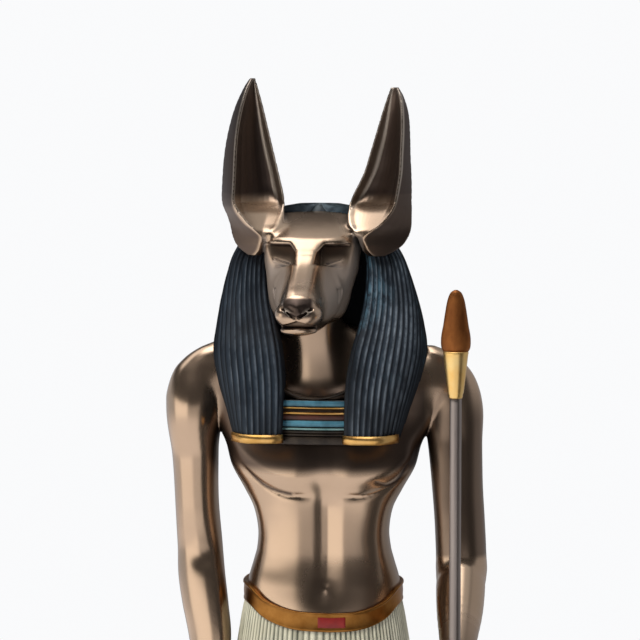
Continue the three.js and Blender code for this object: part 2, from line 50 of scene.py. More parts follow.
# Driving dimensions. Heights are measured from the base's underside.
MM = 0.001
BASE_LOW, BASE_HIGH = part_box("base")
SOLE = BASE_HIGH.z / MM
TOTAL_HEIGHT = 290.0
LEFT_EAR_SHORTER = 2.4
FIGURE_BACK = 6.0  # the figure stands this far behind the middle of the base
HEAD_X = -1.8  # the ears stand a little towards the right shoulder
FACE_X = -2.7  # and the face a little more
WIG = {"locks": 80, "bottom": 195.9, "band": 2.2, "band_proud": 0.5}
KILT = {"hem": 90.0, "pleats": 104, "depth": 0.5}
BELT = {"height": 5.0, "proud": 0.7, "front": 148.6, "side": 154.9, "lowest": -math.pi / 2 + 0.12}
INLAY = {"x": 4.0, "width": 7.2, "height": 2.7}
COLLAR = {"half_width": 10.5, "middle": -0.7}
SPEAR = {"x": 37.5, "y": -34.0, "radius": 1.5, "socket": 210.2, "blade": 222.0, "tip": 237.4}
GRIP_CLEARANCE = 0.3


# Tables and curves

def ramp(value, low, high):
    """0 below low, 1 above high, and a smooth rise between them."""
    t = np.clip((value - low) / (high - low), 0, 1)
    return t * t * (3 - 2 * t)


def row_at(rows, key):
    """The columns of the rows at each key, on a smooth curve through the rows."""
    rows = np.asarray(rows, float)
    key = np.asarray(key, float)
    keys = rows[:, 0]
    before = np.vstack([rows[:1], rows[:-1]])
    after = np.vstack([rows[1:], rows[-1:]])
    slopes = (after - before) / (after[:, :1] - before[:, :1])
    i = np.clip(np.searchsorted(keys, key) - 1, 0, len(keys) - 2)
    span = keys[i + 1] - keys[i]
    t = np.clip((key - keys[i]) / span, 0, 1)
    columns = []
    for c in range(1, rows.shape[1]):
        ends = rows[i, c] * (1 + 2 * t) * (1 - t) ** 2 + rows[i + 1, c] * t * t * (3 - 2 * t)
        bend = slopes[i, c] * t * (1 - t) ** 2 - slopes[i + 1, c] * t * t * (1 - t)
        columns.append(ends + span * bend)
    return columns


def rounded(value, power):
    return np.sign(value) * np.abs(value) ** (2 / power)


def curve_through(points, count):
    """Evenly spaced places on a smooth open curve through the points, and its directions there."""
    points = np.asarray(points, float)
    ends = np.vstack([2 * points[0] - points[1], points, 2 * points[-1] - points[-2]])
    t = np.linspace(0, 1, 24, endpoint=False)[:, None]
    parts = []
    for a, b, c, d in zip(ends, ends[1:], ends[2:], ends[3:]):
        bend = (2 * a - 5 * b + 4 * c - d) * t + (3 * b - a - 3 * c + d) * t * t
        parts.append(b + ((c - a) + bend) * t / 2)
    dense = np.vstack([*parts, points[-1:]])
    steps = np.linalg.norm(np.diff(dense, axis=0), axis=1)
    along = np.concatenate([[0], np.cumsum(steps)])
    places = np.linspace(0, along[-1], count)
    spaced = np.stack([np.interp(places, along, dense[:, k]) for k in range(points.shape[1])], axis=1)
    heading = np.gradient(spaced, axis=0)
    return spaced, heading / np.linalg.norm(heading, axis=1)[:, None]


# Clay: forms as distances from their surface, negative inside. Points are rows of x, y and z.

def melt(a, b, soft):
    """Two forms as one, with a fillet of that softness."""
    h = np.maximum(soft - np.abs(a - b), 0) / soft
    return np.minimum(a, b) - h * h * soft / 4


def carve(form, tool, soft):
    """A form with a tool taken out of it."""
    return -melt(-form, tool, soft)


def egg(p, centre, radii, turn=None):
    q = p - np.asarray(centre, float)
    if turn is not None:
        q = q @ turn
    inner = np.linalg.norm(q / radii, axis=1)
    outer = np.linalg.norm(q / np.square(radii), axis=1)
    return inner * (inner - 1) / np.maximum(outer, 1e-6)


def bone(p, start, end, first, last):
    """A round-ended limb that tapers from one radius to the other."""
    start, end = np.asarray(start, float), np.asarray(end, float)
    axis = end - start
    t = np.clip((p - start) @ axis / (axis @ axis), 0, 1)
    return np.linalg.norm(p - start - t[:, None] * axis, axis=1) - (first + (last - first) * t)


def limb(p, joints):
    """A bent, tapered limb on a smooth curve through joints of [x, y, z, radius]."""
    path, _ = curve_through(joints, 3 * len(joints) - 2)
    parts = [bone(p, a[:3], b[:3], a[3], b[3]) for a, b in zip(path, path[1:])]
    return np.minimum.reduce(parts)


def close_to(p, centre, reach, form):
    """A small form, worked out only within reach of its centre."""
    gap = np.linalg.norm(p - np.asarray(centre, float), axis=1) - reach
    value = gap + 2
    near = gap < 0
    value[near] = form(p[near])
    return value


def column(p, rows, power=2.1):
    """An upright form through rows of [height, x, y, half width, front depth, back depth]."""
    x, y, half, front, back = row_at(rows, p[:, 2])
    dx, dy = p[:, 0] - x, p[:, 1] - y
    depth = np.where(dy < 0, front, back)
    k = (np.abs(dx / half) ** power + np.abs(dy / depth) ** power) ** (1 / power)
    flat = np.hypot(dx, dy) * (1 - 1 / np.maximum(k, 1e-3))
    return np.maximum(flat, np.maximum(rows[0][0] - p[:, 2], p[:, 2] - rows[-1][0]))


def turned(axis, degrees):
    """The rotation about one axis, to turn points into a form's own directions."""
    c, s = math.cos(math.radians(degrees)), math.sin(math.radians(degrees))
    a, b = [(1, 2), (2, 0), (0, 1)][axis]
    matrix = np.eye(3)
    matrix[a, a] = matrix[b, b] = c
    matrix[b, a], matrix[a, b] = s, -s
    return matrix


# Meshes

def make_mesh(name, points, faces, smooth=True):
    """A new object from places in the figure's millimetres."""
    mesh = bpy.data.meshes.new(name)
    where = (np.asarray(points, float) + [0, FIGURE_BACK, 0]) * MM
    mesh.from_pydata(where.tolist(), [], [tuple(int(i) for i in face) for face in faces])
    mesh.validate()
    mesh.polygons.foreach_set("use_smooth", [smooth] * len(mesh.polygons))
    piece = bpy.data.objects.new(name, mesh)
    bpy.context.scene.collection.objects.link(piece)
    return piece


def give(piece, attribute, values):
    """A number for each point of the piece, for its material to read."""
    layer = piece.data.attributes.new(attribute, "FLOAT", "POINT")
    layer.data.foreach_set("value", np.asarray(values, np.float32).ravel())


def loft(name, rings, closed=False, smooth=True):
    """A skin through rings of equal length, each counter-clockwise seen from the last ring."""
    rings = np.asarray(rings, float)
    count, sides = rings.shape[:2]
    faces = []
    for j in range(count if closed else count - 1):
        low, high = j * sides, ((j + 1) % count) * sides
        for i in range(sides):
            n = (i + 1) % sides
            faces.append((low + i, low + n, high + n, high + i))
    points = rings.reshape(-1, 3)
    if not closed:
        middles = rings[[0, -1]].mean(axis=1)
        foot, top = len(points), len(points) + 1
        points = np.vstack([points, middles])
        last = (count - 1) * sides
        for i in range(sides):
            n = (i + 1) % sides
            faces.append((n, i, foot))
            faces.append((last + i, last + n, top))
    return make_mesh(name, points, faces, smooth)


def sampled(field, low, blocks, step, fine):
    """The field on a grid, worked out point by point only near its surface."""
    side = step * fine
    near = np.indices(blocks).reshape(3, -1).T
    value = field(low + (near + 0.5) * side - step / 2)
    grid = np.sign(value).reshape(blocks).repeat(fine, 0).repeat(fine, 1).repeat(fine, 2).astype(np.float32)
    near = near[np.abs(value) < side * 1.9]
    inner = np.indices((fine,) * 3).reshape(3, -1).T
    for some in np.array_split(near, max(1, len(near) // 4000)):
        cell = (some[:, None] * fine + inner).reshape(-1, 3)
        grid[tuple(cell.T)] = field(low + cell * step)
    return grid


def surface_net(grid):
    """One point in each cell that the surface crosses, and one face on each edge that it crosses."""
    inside = grid < 0
    corners = np.indices((2, 2, 2)).reshape(3, -1).T
    shape = np.array(grid.shape) - 1
    part = lambda a, c: a[c[0]:c[0] + shape[0], c[1]:c[1] + shape[1], c[2]:c[2] + shape[2]]
    total = sum(part(inside, c).astype(np.int8) for c in corners)
    cells = np.argwhere((total > 0) & (total < 8))
    number = np.full(shape, -1, np.int32)
    number[tuple(cells.T)] = np.arange(len(cells))
    summed, hits = np.zeros((len(cells), 3)), np.zeros(len(cells))
    for axis in range(3):
        ahead = np.eye(3, dtype=int)[axis]
        for corner in corners[corners[:, axis] == 0]:
            a = grid[tuple((cells + corner).T)]
            b = grid[tuple((cells + corner + ahead).T)]
            cross = (a < 0) != (b < 0)
            t = np.where(cross, a / np.where(cross, a - b, 1), 0)
            summed += np.where(cross[:, None], corner + ahead * t[:, None], 0)
            hits += cross
    faces = []
    for axis in range(3):
        ahead, u, v = np.roll(np.eye(3, dtype=int), -axis, axis=0)
        inner = [slice(1, -1)] * 3
        inner[axis] = slice(0, -1)
        further = [slice(1, -1)] * 3
        further[axis] = slice(1, None)
        a, b = inside[tuple(inner)], inside[tuple(further)]
        for leaving in (True, False):
            edge = np.argwhere((a != b) & (a == leaving)) + (1 - ahead)
            around = [edge - u - v, edge - v, edge, edge - u]
            quad = np.stack([number[tuple(c.T)] for c in around], axis=1)
            faces.append(quad if leaving else quad[:, ::-1])
    return cells + summed / hits[:, None], np.vstack(faces)


def slope_of(field, points, reach):
    """The field and its gradient at the points."""
    ways = np.array([[1, 1, 1], [1, -1, -1], [-1, 1, -1], [-1, -1, 1]], float)
    gradient = sum(way * field(points + way * reach)[:, None] for way in ways)
    return field(points), gradient / (4 * reach)


def places_of(piece):
    """The X, Y and Z of a piece's points in millimetres, with the figure at its own middle."""
    places = np.empty(len(piece.data.vertices) * 3)
    piece.data.vertices.foreach_get("co", places)
    x, y, z = places.reshape(-1, 3).T / MM
    return x, y - FIGURE_BACK, z


def sculpt(name, field, low, high, step, fine=6):
    """A piece of clay as a mesh, with how deep each point lies in a hollow."""
    low, high = np.asarray(low, float), np.asarray(high, float)
    blocks = tuple(np.ceil((high - low) / (step * fine)).astype(int))
    net, faces = surface_net(sampled(field, low, blocks, step, fine))
    points = low + net * step
    for _ in range(2):
        value, gradient = slope_of(field, points, step * 0.3)
        steep = np.maximum((gradient ** 2).sum(axis=1), 0.05)
        points -= gradient * np.clip(value / steep, -step, step)[:, None]
    out = slope_of(field, points, step * 0.5)[1]
    out /= np.maximum(np.linalg.norm(out, axis=1), 1e-6)[:, None]
    piece = make_mesh(name, points, faces)
    # The first two measure how deep a point lies in a crease or hollow; the third, with its long reach, how close other
    # parts stand, and only feeds painted shade between them.
    for attribute, reach in (("crease", 0.9), ("hollow", 4.0), ("painted_shade_between_parts", 12.0)):
        give(piece, attribute, np.clip(1 - field(points + out * reach) / reach, 0, 1))
    give(piece, "edge", np.clip(1 + field(points - out * 0.9) / 0.9, 0, 1))
    return piece


# The trunk, arms and hands

TRUNK = [
    # [height, x, y, half width, front, back]
    [136, 0.1, 0, 20.0, 14.2, 14.2],
    [144, 0.1, 0, 20.4, 14.3, 14.4],
    [149.5, 0.2, 0, 20.4, 14.7, 14],
    [157, 0.2, 0, 20.2, 13.6, 12.8],
    [163, 0.2, 0, 18.6, 12.4, 11.4],
    [166, 0.2, 0, 17.8, 12.0, 10.8],
    [171, 0.1, 0, 17.4, 11.75, 10.4],
    [177, 0, 0, 18.5, 11.6, 10.8],
    [182, 0, 0, 21, 11.7, 11.4],
    [188, 0, 0, 24.3, 11.9, 12.4],
    [194, 0, 0, 26, 10.3, 13.4],
    [199, 0, 0.2, 28.4, 8.9, 13.6],
    [204, 0, 0.4, 30.4, 8.4, 13.6],
    [210, 0, 0.8, 31, 8.4, 12.8],
    [216, 0, 1.2, 26.6, 7.8, 10.8],
    [221, 0, 1.6, 17, 7.2, 9],
    [225, 0, 1.8, 9, 6.6, 7],
]
NECK = [
    [200, -0.6, -1.5, 7.6, 9.4, 7],
    [206, -0.8, -1.5, 7.4, 8.6, 7],
    [216, -1.2, -2.4, 6.8, 7.2, 7],
    [226, -1.6, -3.8, 6.6, 6.8, 7],
    [238, HEAD_X, -4, 7.4, 7, 7],
]
RIGHT_ARM = [
    [112, -29.6, -7.6, 3.4, 4.4, 4.4],
    [121, -29.4, -6.8, 3.6, 4.3, 4.3],
    [127, -29.3, -5.7, 4.1, 4.6, 4.6],
    [135, -29.5, -4.4, 5, 5.4, 5.4],
    [143, -30, -3.3, 6, 6.1, 6.1],
    [151, -31.4, -2.3, 6.5, 6.4, 6.4],
    [158.5, -32.6, -1, 6.6, 6.6, 6.4],
    [166, -33.3, 0.8, 6.2, 6.6, 6.4],
    [177, -34.1, 1.2, 5.9, 7.4, 6.4],
    [187, -34.4, 1, 6.1, 7.6, 6.6],
    [198, -34.6, 0.6, 6.8, 7.6, 7.4],
    [204, -34.0, 0.4, 7.6, 7.4, 8],
    [207, -33.6, 0.4, 8, 7, 8.4],
    [213, -32.4, 0.6, 7.4, 5.8, 8],
    [216.4, -30.8, 1, 6, 4.8, 7],
    [218.8, -29, 1.2, 4.2, 3.6, 5],
    [220.4, -27.8, 1.4, 1.6, 1.6, 2],
]
LEFT_ARM = [
    [153.5, 37, -3.4, 2.6, 3, 3],
    [156, 37, -3.6, 5, 5.2, 5],
    [161, 37, -3.7, 6.5, 6.4, 6.4],
    [167, 36.8, -3.4, 6.6, 6.9, 6.8],
    [175, 36.3, -2.2, 6.6, 6.7, 6.9],
    [183, 35.6, -0.6, 6.7, 6.4, 7],
    [191, 35, 0.9, 7, 6.1, 7.1],
    [198, 34.4, 2.2, 7.4, 5.8, 7.4],
    [204, 33.6, 3.2, 7.7, 5.4, 7.8],
    [211, 32.2, 3.4, 7.4, 4.6, 7.4],
    [215, 30.8, 3, 6.4, 4, 6.6],
    [218, 29, 2.6, 4.4, 3, 5],
    [219.8, 27.6, 2.4, 1.6, 1.4, 2],
]
FOREARM = [
    [37, -4.4, 161.0, 6.0],
    [37.1, -8, 158.2, 6.4],
    [37.4, -15, 152.6, 6.0],
    [37.6, -23, 147, 4.9],
    [37.8, -30, 142.8, 4.3],
]
MIDDLE = 2.0  # the middle line of the chest and belly
PEC_RIGHT = [[-20.4, 189.4], [-15.2, 184.2], [-11, 182.5], [-7.3, 181.8]]  # lower edges of the chest muscles
PEC_LEFT = [[22.8, 189.4], [20.2, 185.1], [17.6, 184], [15, 185]]


def scratch(x, z, points, wide):
    """1 on a line over the front through the points and 0 away from it."""
    path, _ = curve_through(points, 9)
    nearest = np.full(len(x), 1e9)
    for (ax, az), (bx, bz) in zip(path, path[1:]):
        ex, ez = bx - ax, bz - az
        t = np.clip(((x - ax) * ex + (z - az) * ez) / (ex * ex + ez * ez), 0, 1)
        nearest = np.minimum(nearest, (x - ax - t * ex) ** 2 + (z - az - t * ez) ** 2)
    return np.exp(-nearest / wide ** 2)


def front_relief(x, z):
    """How far the muscles of the chest and belly stand out of the trunk's front."""
    across = np.abs(x - MIDDLE)
    lower_edge = 181.4 + 3.6 * (np.maximum(across - 8, 0) / 10) ** 1.8
    rise = ramp(z, lower_edge - 0.8, lower_edge + 5.0)
    chest = (0.45 + 0.55 * ramp(across, 1, 8)) * rise * np.maximum(1 - (np.maximum(z - 187, 0) / 15) ** 2, 0)
    under = np.exp(-((z - lower_edge + 0.2) / 0.8) ** 2) * ramp(across, 3, 7) * ramp(across, 24, 20)
    down = ramp(z, 150, 160) * ramp(z, 190, 178)
    seam = np.exp(-((x - MIDDLE) / 2.9) ** 2) * down
    trough = np.exp(-((x - MIDDLE) / 5.5) ** 2) * down
    flank = ramp(across, 8, 14) * ramp(z, 160, 168) * ramp(z, 182, 176)
    navel = np.exp(-((x - MIDDLE) / 0.8) ** 2 - ((z - 157) / 1.0) ** 2)
    fold = scratch(x, z, PEC_LEFT, 0.5)
    return 1.9 * chest - 0.45 * under - 1.3 * seam - 0.9 * trough + 0.3 * flank - 0.3 * navel - 0.2 * fold


def back_relief(x, z):
    """The spine's furrow, the muscles beside it and the shoulder blades."""
    across = np.abs(x)
    spine = np.exp(-(x / 1.8) ** 2) * ramp(z, 150, 160)
    beside = np.exp(-((across - 5) / 3) ** 2) * ramp(z, 152, 160) * ramp(z, 190, 176)
    blade = np.exp(-((across - 13 + (z - 195) * 0.1) / 5) ** 2 - ((z - 196) / 9) ** 2)
    flank = np.exp(-((across - 14) / 4) ** 2 - ((z - 180) / 8) ** 2)
    return -1.3 * spine + 0.7 * beside + 1.3 * blade + 0.5 * flank


def trunk(p):
    x, y, z = p.T
    relief = np.where(y < 0, front_relief(x, z), back_relief(x, z)) * ramp(np.abs(y), 3, 8)
    return column(p, TRUNK, 2.35) - relief


def fist(q):
    """A fist closed round the Z axis: knuckles towards -Y, the back of the hand towards +X, thumb up."""
    palm = melt(egg(q, (2.9, 1.6, 0), (3, 5.2, 6.4)), bone(q, (0.4, 5.6, -2), (0.6, 5.6, 2), 3.6, 3.4), 2)
    whole = palm
    for i, (size, out) in enumerate(((1.5, 0), (1.6, 0.5), (1.6, 0.4), (1.4, -0.3))):
        z = 4.7 - 3.1 * i
        joints = [
            [4.3, -1.2, z, size + 0.15],
            [3.4, -4.3 - out, z, size + 0.1],
            [-1.6, -4.8 - out, z - 0.1, size],
            [-3.6, -1.9, z - 0.1, size - 0.1],
            [-1.9, 0.9, z - 0.1, size - 0.2],
        ]
        whole = melt(whole, limb(q, joints), 0.45)
    thumb = [[1.6, 5.2, 3.6, 2.3], [-2.0, 2.8, 6.2, 1.9], [-3.6, -0.8, 6.5, 1.7], [-2.8, -3.6, 6.0, 1.4]]
    whole = melt(whole, limb(q, thumb), 0.7)
    nail = egg(q, (-3.4, -4.0, 7.2), (1.2, 1.3, 0.5))
    return carve(whole, nail, 0.2)


def right_hand(p):
    centre = (-30.0, -7.6, 111.6)
    q = np.stack([centre[0] - p[:, 0], p[:, 2] - centre[2], centre[1] - p[:, 1]], axis=1)
    closed = melt(fist(q / 0.92) * 0.92, bone(q, (0, 0.6, -3.6), (0, 0.6, 3.4), 2.0, 2.0), 0.8)
    return closed


def left_hand(p):
    centre = (SPEAR["x"], SPEAR["y"], 140.4)
    q = p - centre
    held = fist(q / 0.95) * 0.95
    hole = np.hypot(q[:, 0], q[:, 1]) - SPEAR["radius"] - GRIP_CLEARANCE
    return carve(held, hole, 0.3)


def shoulder_softness(z):
    return 1.0 + 5.0 * ramp(z, 199, 214)


def right_arm(p):
    skew = (0.12 + 0.2 * ramp(p[:, 2], 172, 158)) * ramp(p[:, 2], 206, 196)
    whole = column(p + np.stack([0 * skew, skew * (p[:, 0] + 32), 0 * skew], axis=1), RIGHT_ARM)
    deltoid = egg(p, (-34.8, -0.4, 202), (5.6, 7.6, 10))
    elbow = egg(p, (-33, 5.0, 162), (3.4, 3.0, 4.2))
    crook = egg(p, (-30.2, -8.6, 164.8), (5.4, 1.7, 2.2), turned(1, -12))
    for muscle, soft in ((deltoid, 4), (elbow, 2.5)):
        whole = melt(whole, muscle, soft)
    return melt(carve(whole, crook, 2.5), close_to(p, (-30, -7.6, 112), 14, right_hand), 1.6)


def left_arm(p):
    whole = column(p, LEFT_ARM)
    deltoid = egg(p, (34.6, 3.4, 203), (5.8, 6.0, 9))
    elbow = egg(p, (37.2, 0.4, 160), (3.6, 3.2, 4))
    for muscle, soft in ((deltoid, 4), (elbow, 2)):
        whole = melt(whole, muscle, soft)
    whole = melt(whole, limb(p, FOREARM), 1.6)
    return melt(whole, close_to(p, (37.5, -33, 141), 15, left_hand), 1.6)


def body_field(p):
    z = p[:, 2]
    whole = trunk(p)
    neck = column(p, NECK, 2.6)
    for side in (-1, 1):
        collar_bone = bone(p, (side * 2.6 - 0.4, -9.4, 206.4), (side * 24, -6.4, 212.4), 1.5, 1.4)
        whole = melt(whole, collar_bone, 2.5)
    whole = melt(whole, neck, 4)
    soft = shoulder_softness(z)
    return melt(melt(whole, right_arm(p), soft), left_arm(p), soft)


def make_body():
    body = sculpt("body", body_field, (-46, -44, 100), (48, 20, 236), 0.55)
    x, y, z = places_of(body)
    # Painted shade and dark reflection: the upper chest under the lappets, part of the lower belly, the front of the
    # neck, the left upper arm and thin lines under the chest muscles are coloured darker.
    chest = ramp(z, 186.4, 189.6) * ramp(z, 215, 208) * ramp(np.abs(x - 0.6), 29, 26) * ramp(y, 6, 0)
    belly = ramp(z, 167, 158) * ramp(x, -7, -1) * ramp(x, 17, 13) * ramp(y, 0, -6)
    neck = ramp(z, 205, 208) * ramp(np.abs(x), 14, 12) * ramp(y, -2, -5)
    arm = ramp(x, 26.5, 31) * ramp(z, 164.6, 166.4) * ramp(z, 212, 200) * ramp(y, 5, -1)
    lines = scratch(x, z, PEC_RIGHT, 0.5) + scratch(x, z, PEC_LEFT, 0.5)
    give(body, "painted_shade", np.maximum.reduce([0.9 * chest, 0.5 * belly, 0.3 * neck, 0.72 * arm, lines * (y < 0)]))
    give(body, "dull", 0 * x)
    return body


# Legs and feet

STRIDE = (
    {"side": -1, "hip": 0.0, "knee": 6.6, "ankle": 15.0},
    {"side": 1, "hip": -3.0, "knee": -10.0, "ankle": -12.0},
)


def leg(p, side, hip, knee, ankle):
    x = side * 9.4
    rows = [
        [SOLE + 3, x, ankle, 4.2, 4.6, 5],
        [SOLE + 11, x, ankle, 3.7, 4.2, 4.6],
        [SOLE + 20, x, ankle - 0.3, 3.9, 4.4, 4.8],
        [SOLE + 34, x - side * 0.1, ankle * 0.72 + knee * 0.28, 5.2, 5.2, 6.4],
        [SOLE + 48, x - side * 0.2, ankle * 0.45 + knee * 0.55, 6.3, 5.8, 7.6],
        [SOLE + 59, x - side * 0.3, ankle * 0.2 + knee * 0.8, 5.9, 5.9, 6.6],
        [SOLE + 69, x - side * 0.4, knee, 5.9, 6.6, 6],
        [SOLE + 78, x - side * 0.6, knee * 0.85 + hip * 0.15, 6.7, 6.9, 7],
        [SOLE + 95, x - side * 0.8, knee * 0.5 + hip * 0.5, 8.6, 8.8, 9],
        [SOLE + 118, x - side, hip, 10, 10, 10.4],
    ]
    whole = column(p, rows)
    kneecap = egg(p, (x - side * 0.4, knee - 5.6, SOLE + 68), (3, 1.9, 3.6))
    shin = bone(p, (x + side * 0.4, knee - 5, SOLE + 61), (x + side * 0.2, ankle - 3.2, SOLE + 18), 1.4, 1)
    inner_calf = egg(p, (x - side * 2.6, knee * 0.6 + ankle * 0.4 + 3.6, SOLE + 48), (3, 4, 9.5))
    outer_calf = egg(p, (x + side * 2.6, knee * 0.6 + ankle * 0.4 + 3, SOLE + 51), (2.8, 3.6, 9))
    thigh = egg(p, (x + side * 1.4, knee * 0.75 + hip * 0.25 - 4.4, SOLE + 84), (4.4, 3.4, 12))
    for muscle, soft in ((kneecap, 2.6), (shin, 2.8), (inner_calf, 2.6), (outer_calf, 2.6), (thigh, 4)):
        whole = melt(whole, muscle, soft)
    for way in (-1, 1):
        knob = egg(p, (x + way * 3.3, ankle + 0.4, SOLE + 12 - way * side), (1.4, 2, 2))
        whole = melt(whole, knob, 1.4)
    return melt(whole, foot(p, x, ankle, side), 4.2)


def foot(p, x, ankle, side):
    """A bare foot from heel to toes, turned a little outwards."""
    out = side * 0.06
    at = lambda across, ahead, up: (x + side * across + out * ahead, ankle - ahead, SOLE + up)
    heel = egg(p, at(0, -4.2, 4.6), (4.2, 5, 5))
    instep = bone(p, at(-0.2, 2, 7), at(-0.8, 14, 3.6), 4.3, 2.9)
    outer = bone(p, at(1.6, -2, 3), at(3, 15, 2.4), 2.9, 2.3)
    ball = egg(p, at(-0.2, 16.4, 2.2), (5.7, 4.6, 2.7))
    whole = heel
    for part, soft in ((instep, 3), (outer, 2.4), (ball, 2.4)):
        whole = melt(whole, part, soft)
    for i, length in enumerate((6.6, 6.2, 5.4, 4.4, 3.2)):
        wide = 1.75 if i == 0 else 1.25
        across = -4 + (0 if i == 0 else 0.9 + i * 2.15)
        start = 18.6 - i * 0.8
        joints = [
            [*at(across, start, 2.4), wide],
            [*at(across, start + length * 0.55, 2.5), wide * 0.86],
            [*at(across, start + length, 1.3), wide * 0.9],
        ]
        whole = melt(whole, limb(p, joints), 0.5)
        whole = carve(whole, egg(p, at(across, start + length + 0.4, 2.3 + wide * 0.3), (wide * 0.6, 1, 0.5)), 0.15)
    return carve(whole, p[:, 2] - SOLE, 0.4)


def legs_field(p):
    right, left = (leg(p, **step) for step in STRIDE)
    return melt(right, left, 1.5)


def make_legs():
    return sculpt("legs", legs_field, (-24, -42, SOLE - 1), (24, 27, SOLE + 119), 0.6)


# The head, worked out about its own middle plane and then set on the neck

FACE = [
    [224.6, 0, -4, 5.6, 6, 8],
    [226.6, -0.6, -4, 7.9, 6.6, 9],
    [228.4, -0.6, -4, 9.1, 7, 9.6],
    [229.8, -0.6, -4, 9.8, 7.2, 10],
    [232.2, -0.5, -4, 10.5, 7.4, 10.4],
    [234.7, -0.4, -3.6, 10.9, 7.8, 11],
    [237.2, -0.2, -3, 11.4, 8.6, 11],
    [239.8, 0, -2.2, 12.0, 9.6, 10.6],
    [242.4, 0, -1.4, 12.4, 10.8, 10],
    [245, 0, -0.6, 12.6, 12.2, 9.4],
    [247, 0, 0, 12.7, 13.3, 9],
    [252, 0, 0, 12.4, 13.5, 9],
    [258, 0, 0, 11.4, 13.5, 9],
]
FOREHEAD = {"brow": 247.9, "ahead": 13.5, "half": 12.9, "rise": 0.6, "fall": 0.0105, "crown": 256.5}
MUZZLE = [
    # [ahead, half bridge, half width, half chin, top, height of the widest place, bottom]
    [6, 4, 10.6, 6, 249, 236, 228],
    [12, 3.4, 10, 5.6, 248.4, 235, 225.6],
    [14.4, 3.1, 9.2, 5.2, 246.7, 234, 225],
    [18.9, 2.9, 7.8, 4.7, 242.9, 232.8, 224.6],
    [22, 3.0, 6.9, 4.4, 240.9, 232, 224.6],
    [27.5, 3.0, 6.1, 4, 237.9, 231.4, 224.8],
    [31.4, 2.6, 5.4, 3.4, 235.9, 231, 225.6],
    [33.6, 1.8, 4.2, 2.4, 234.2, 231, 227],
    [34.7, 0.8, 2.2, 1.4, 233, 231.2, 229.4],
]
BROW = 247.1
SOCKET = {"ahead": 10.9, "foot": 241.0, "lean": 0.36, "outwards": 0.1, "wall": 3.0}


def muzzle(q):
    """A long wedge: a flat bridge with firm edges, cheeks that spread below it, and a rounded chin."""
    u, ahead, z = np.abs(q[:, 0]), -q[:, 1], q[:, 2]
    bridge, half, chin, top, widest, bottom = row_at(MUZZLE, ahead)
    rise, spread = top - widest, half - bridge
    upper = ((u - bridge) * rise + (z - top) * spread) / np.hypot(rise, spread)
    fall, tuck = widest - bottom, half - chin
    lower = ((u - half) * fall - (z - widest) * tuck) / np.hypot(fall, tuck)
    roof = carve(upper, top - z, 1.8)
    keel = carve(lower, z - bottom, 4)
    flat = carve(roof, -keel, 3)
    return np.maximum(flat, np.maximum(ahead - MUZZLE[-1][0], MUZZLE[0][0] - ahead))


def mouth(q, m):
    """The dark opening under the nose and the line of the lips back along both cheeks."""
    u, ahead, z = m[:, 0], -q[:, 1], q[:, 2]
    upper = (z - 229.1) + u * 0.33
    lower = 227.1 - z
    opening = np.maximum(np.maximum(upper * 0.95, lower), 29.0 - ahead)
    line = limb(m, [[4.6, -30.8, 227.3, 0.34], [5.4, -27, 227.6, 0.3], [6.0, -21, 228.0, 0.24]])
    return np.minimum(opening, line)


def forehead(u, ahead, z):
    """Above a low roof that rises from the brow to the crown, level from side to side."""
    edge = FOREHEAD["ahead"] * (1 - np.clip(u / FOREHEAD["half"], 0, 0.98) ** 2.9) ** (1 / 2.9)
    back = np.maximum(edge - ahead, -3)
    roof = FOREHEAD["brow"] + FOREHEAD["rise"] * back - FOREHEAD["fall"] * back ** 2
    return (np.minimum(roof, FOREHEAD["crown"]) - z) * 0.9


def brow_line(u):
    """The height of the brow's lower edge: level over the eye and dropping to the bridge."""
    return BROW - 1.8 * (1 - ramp(u, 2.6, 4.8))


def eye(form, m):
    """A smooth deep socket under the brow, with a closed lid low in it and a thin lower rim."""
    u, ahead, z = m[:, 0], -m[:, 1], m[:, 2]
    floor = SOCKET["ahead"] - SOCKET["lean"] * (z - SOCKET["foot"]) - SOCKET["outwards"] * (u - 7)
    wall = SOCKET["wall"] + 0.1 * (14 - ahead) - u
    foot = SOCKET["foot"] + 0.45 * (ahead - SOCKET["ahead"]) - 0.4 * (7 - u) - z
    hollow = np.maximum.reduce([(floor - ahead) * 0.93, z - brow_line(u), wall, foot * 0.85, u - 12])
    form = carve(form, hollow, 0.9)
    slit = bone(m, (4.8, -10.75, 241.9), (9.0, -9.9, 243.4), 0.26, 0.22)
    form = carve(form, slit, 0.3)
    rim = bone(m, (4.9, -10.95, 241.3), (9.0, -10.15, 242.8), 0.34, 0.28)
    return melt(form, rim, 0.5)


def nose(form, q, m):
    """A leather pad that leans back, with two nostrils and a split down to the lip."""
    ahead = -q[:, 1]
    pad = egg(q, (0, -31.0, 233.3), (3.9, 4.0, 2.1))
    tip = egg(q, (0, -32.4, 231.0), (2.4, 2.8, 1.9))
    face = 34.0 - (q[:, 2] - 231.0) * 0.42 - ahead
    pad = carve(melt(pad, tip, 1.2), face, 0.45)
    form = melt(form, pad, 0.5)
    nostril = bone(m, (1.3, -35.0, 232.0), (2.7, -34.2, 233.0), 0.75, 0.55)
    wing = bone(m, (3.6, -33.0, 232.0), (0, -34.8, 229.7), 0.4, 0.42)
    split = bone(q, (0, -35.0, 230.2), (0, -34.2, 228.6), 0.26, 0.3)
    for tool in (nostril, wing, split):
        form = carve(form, tool, 0.35)
    return form


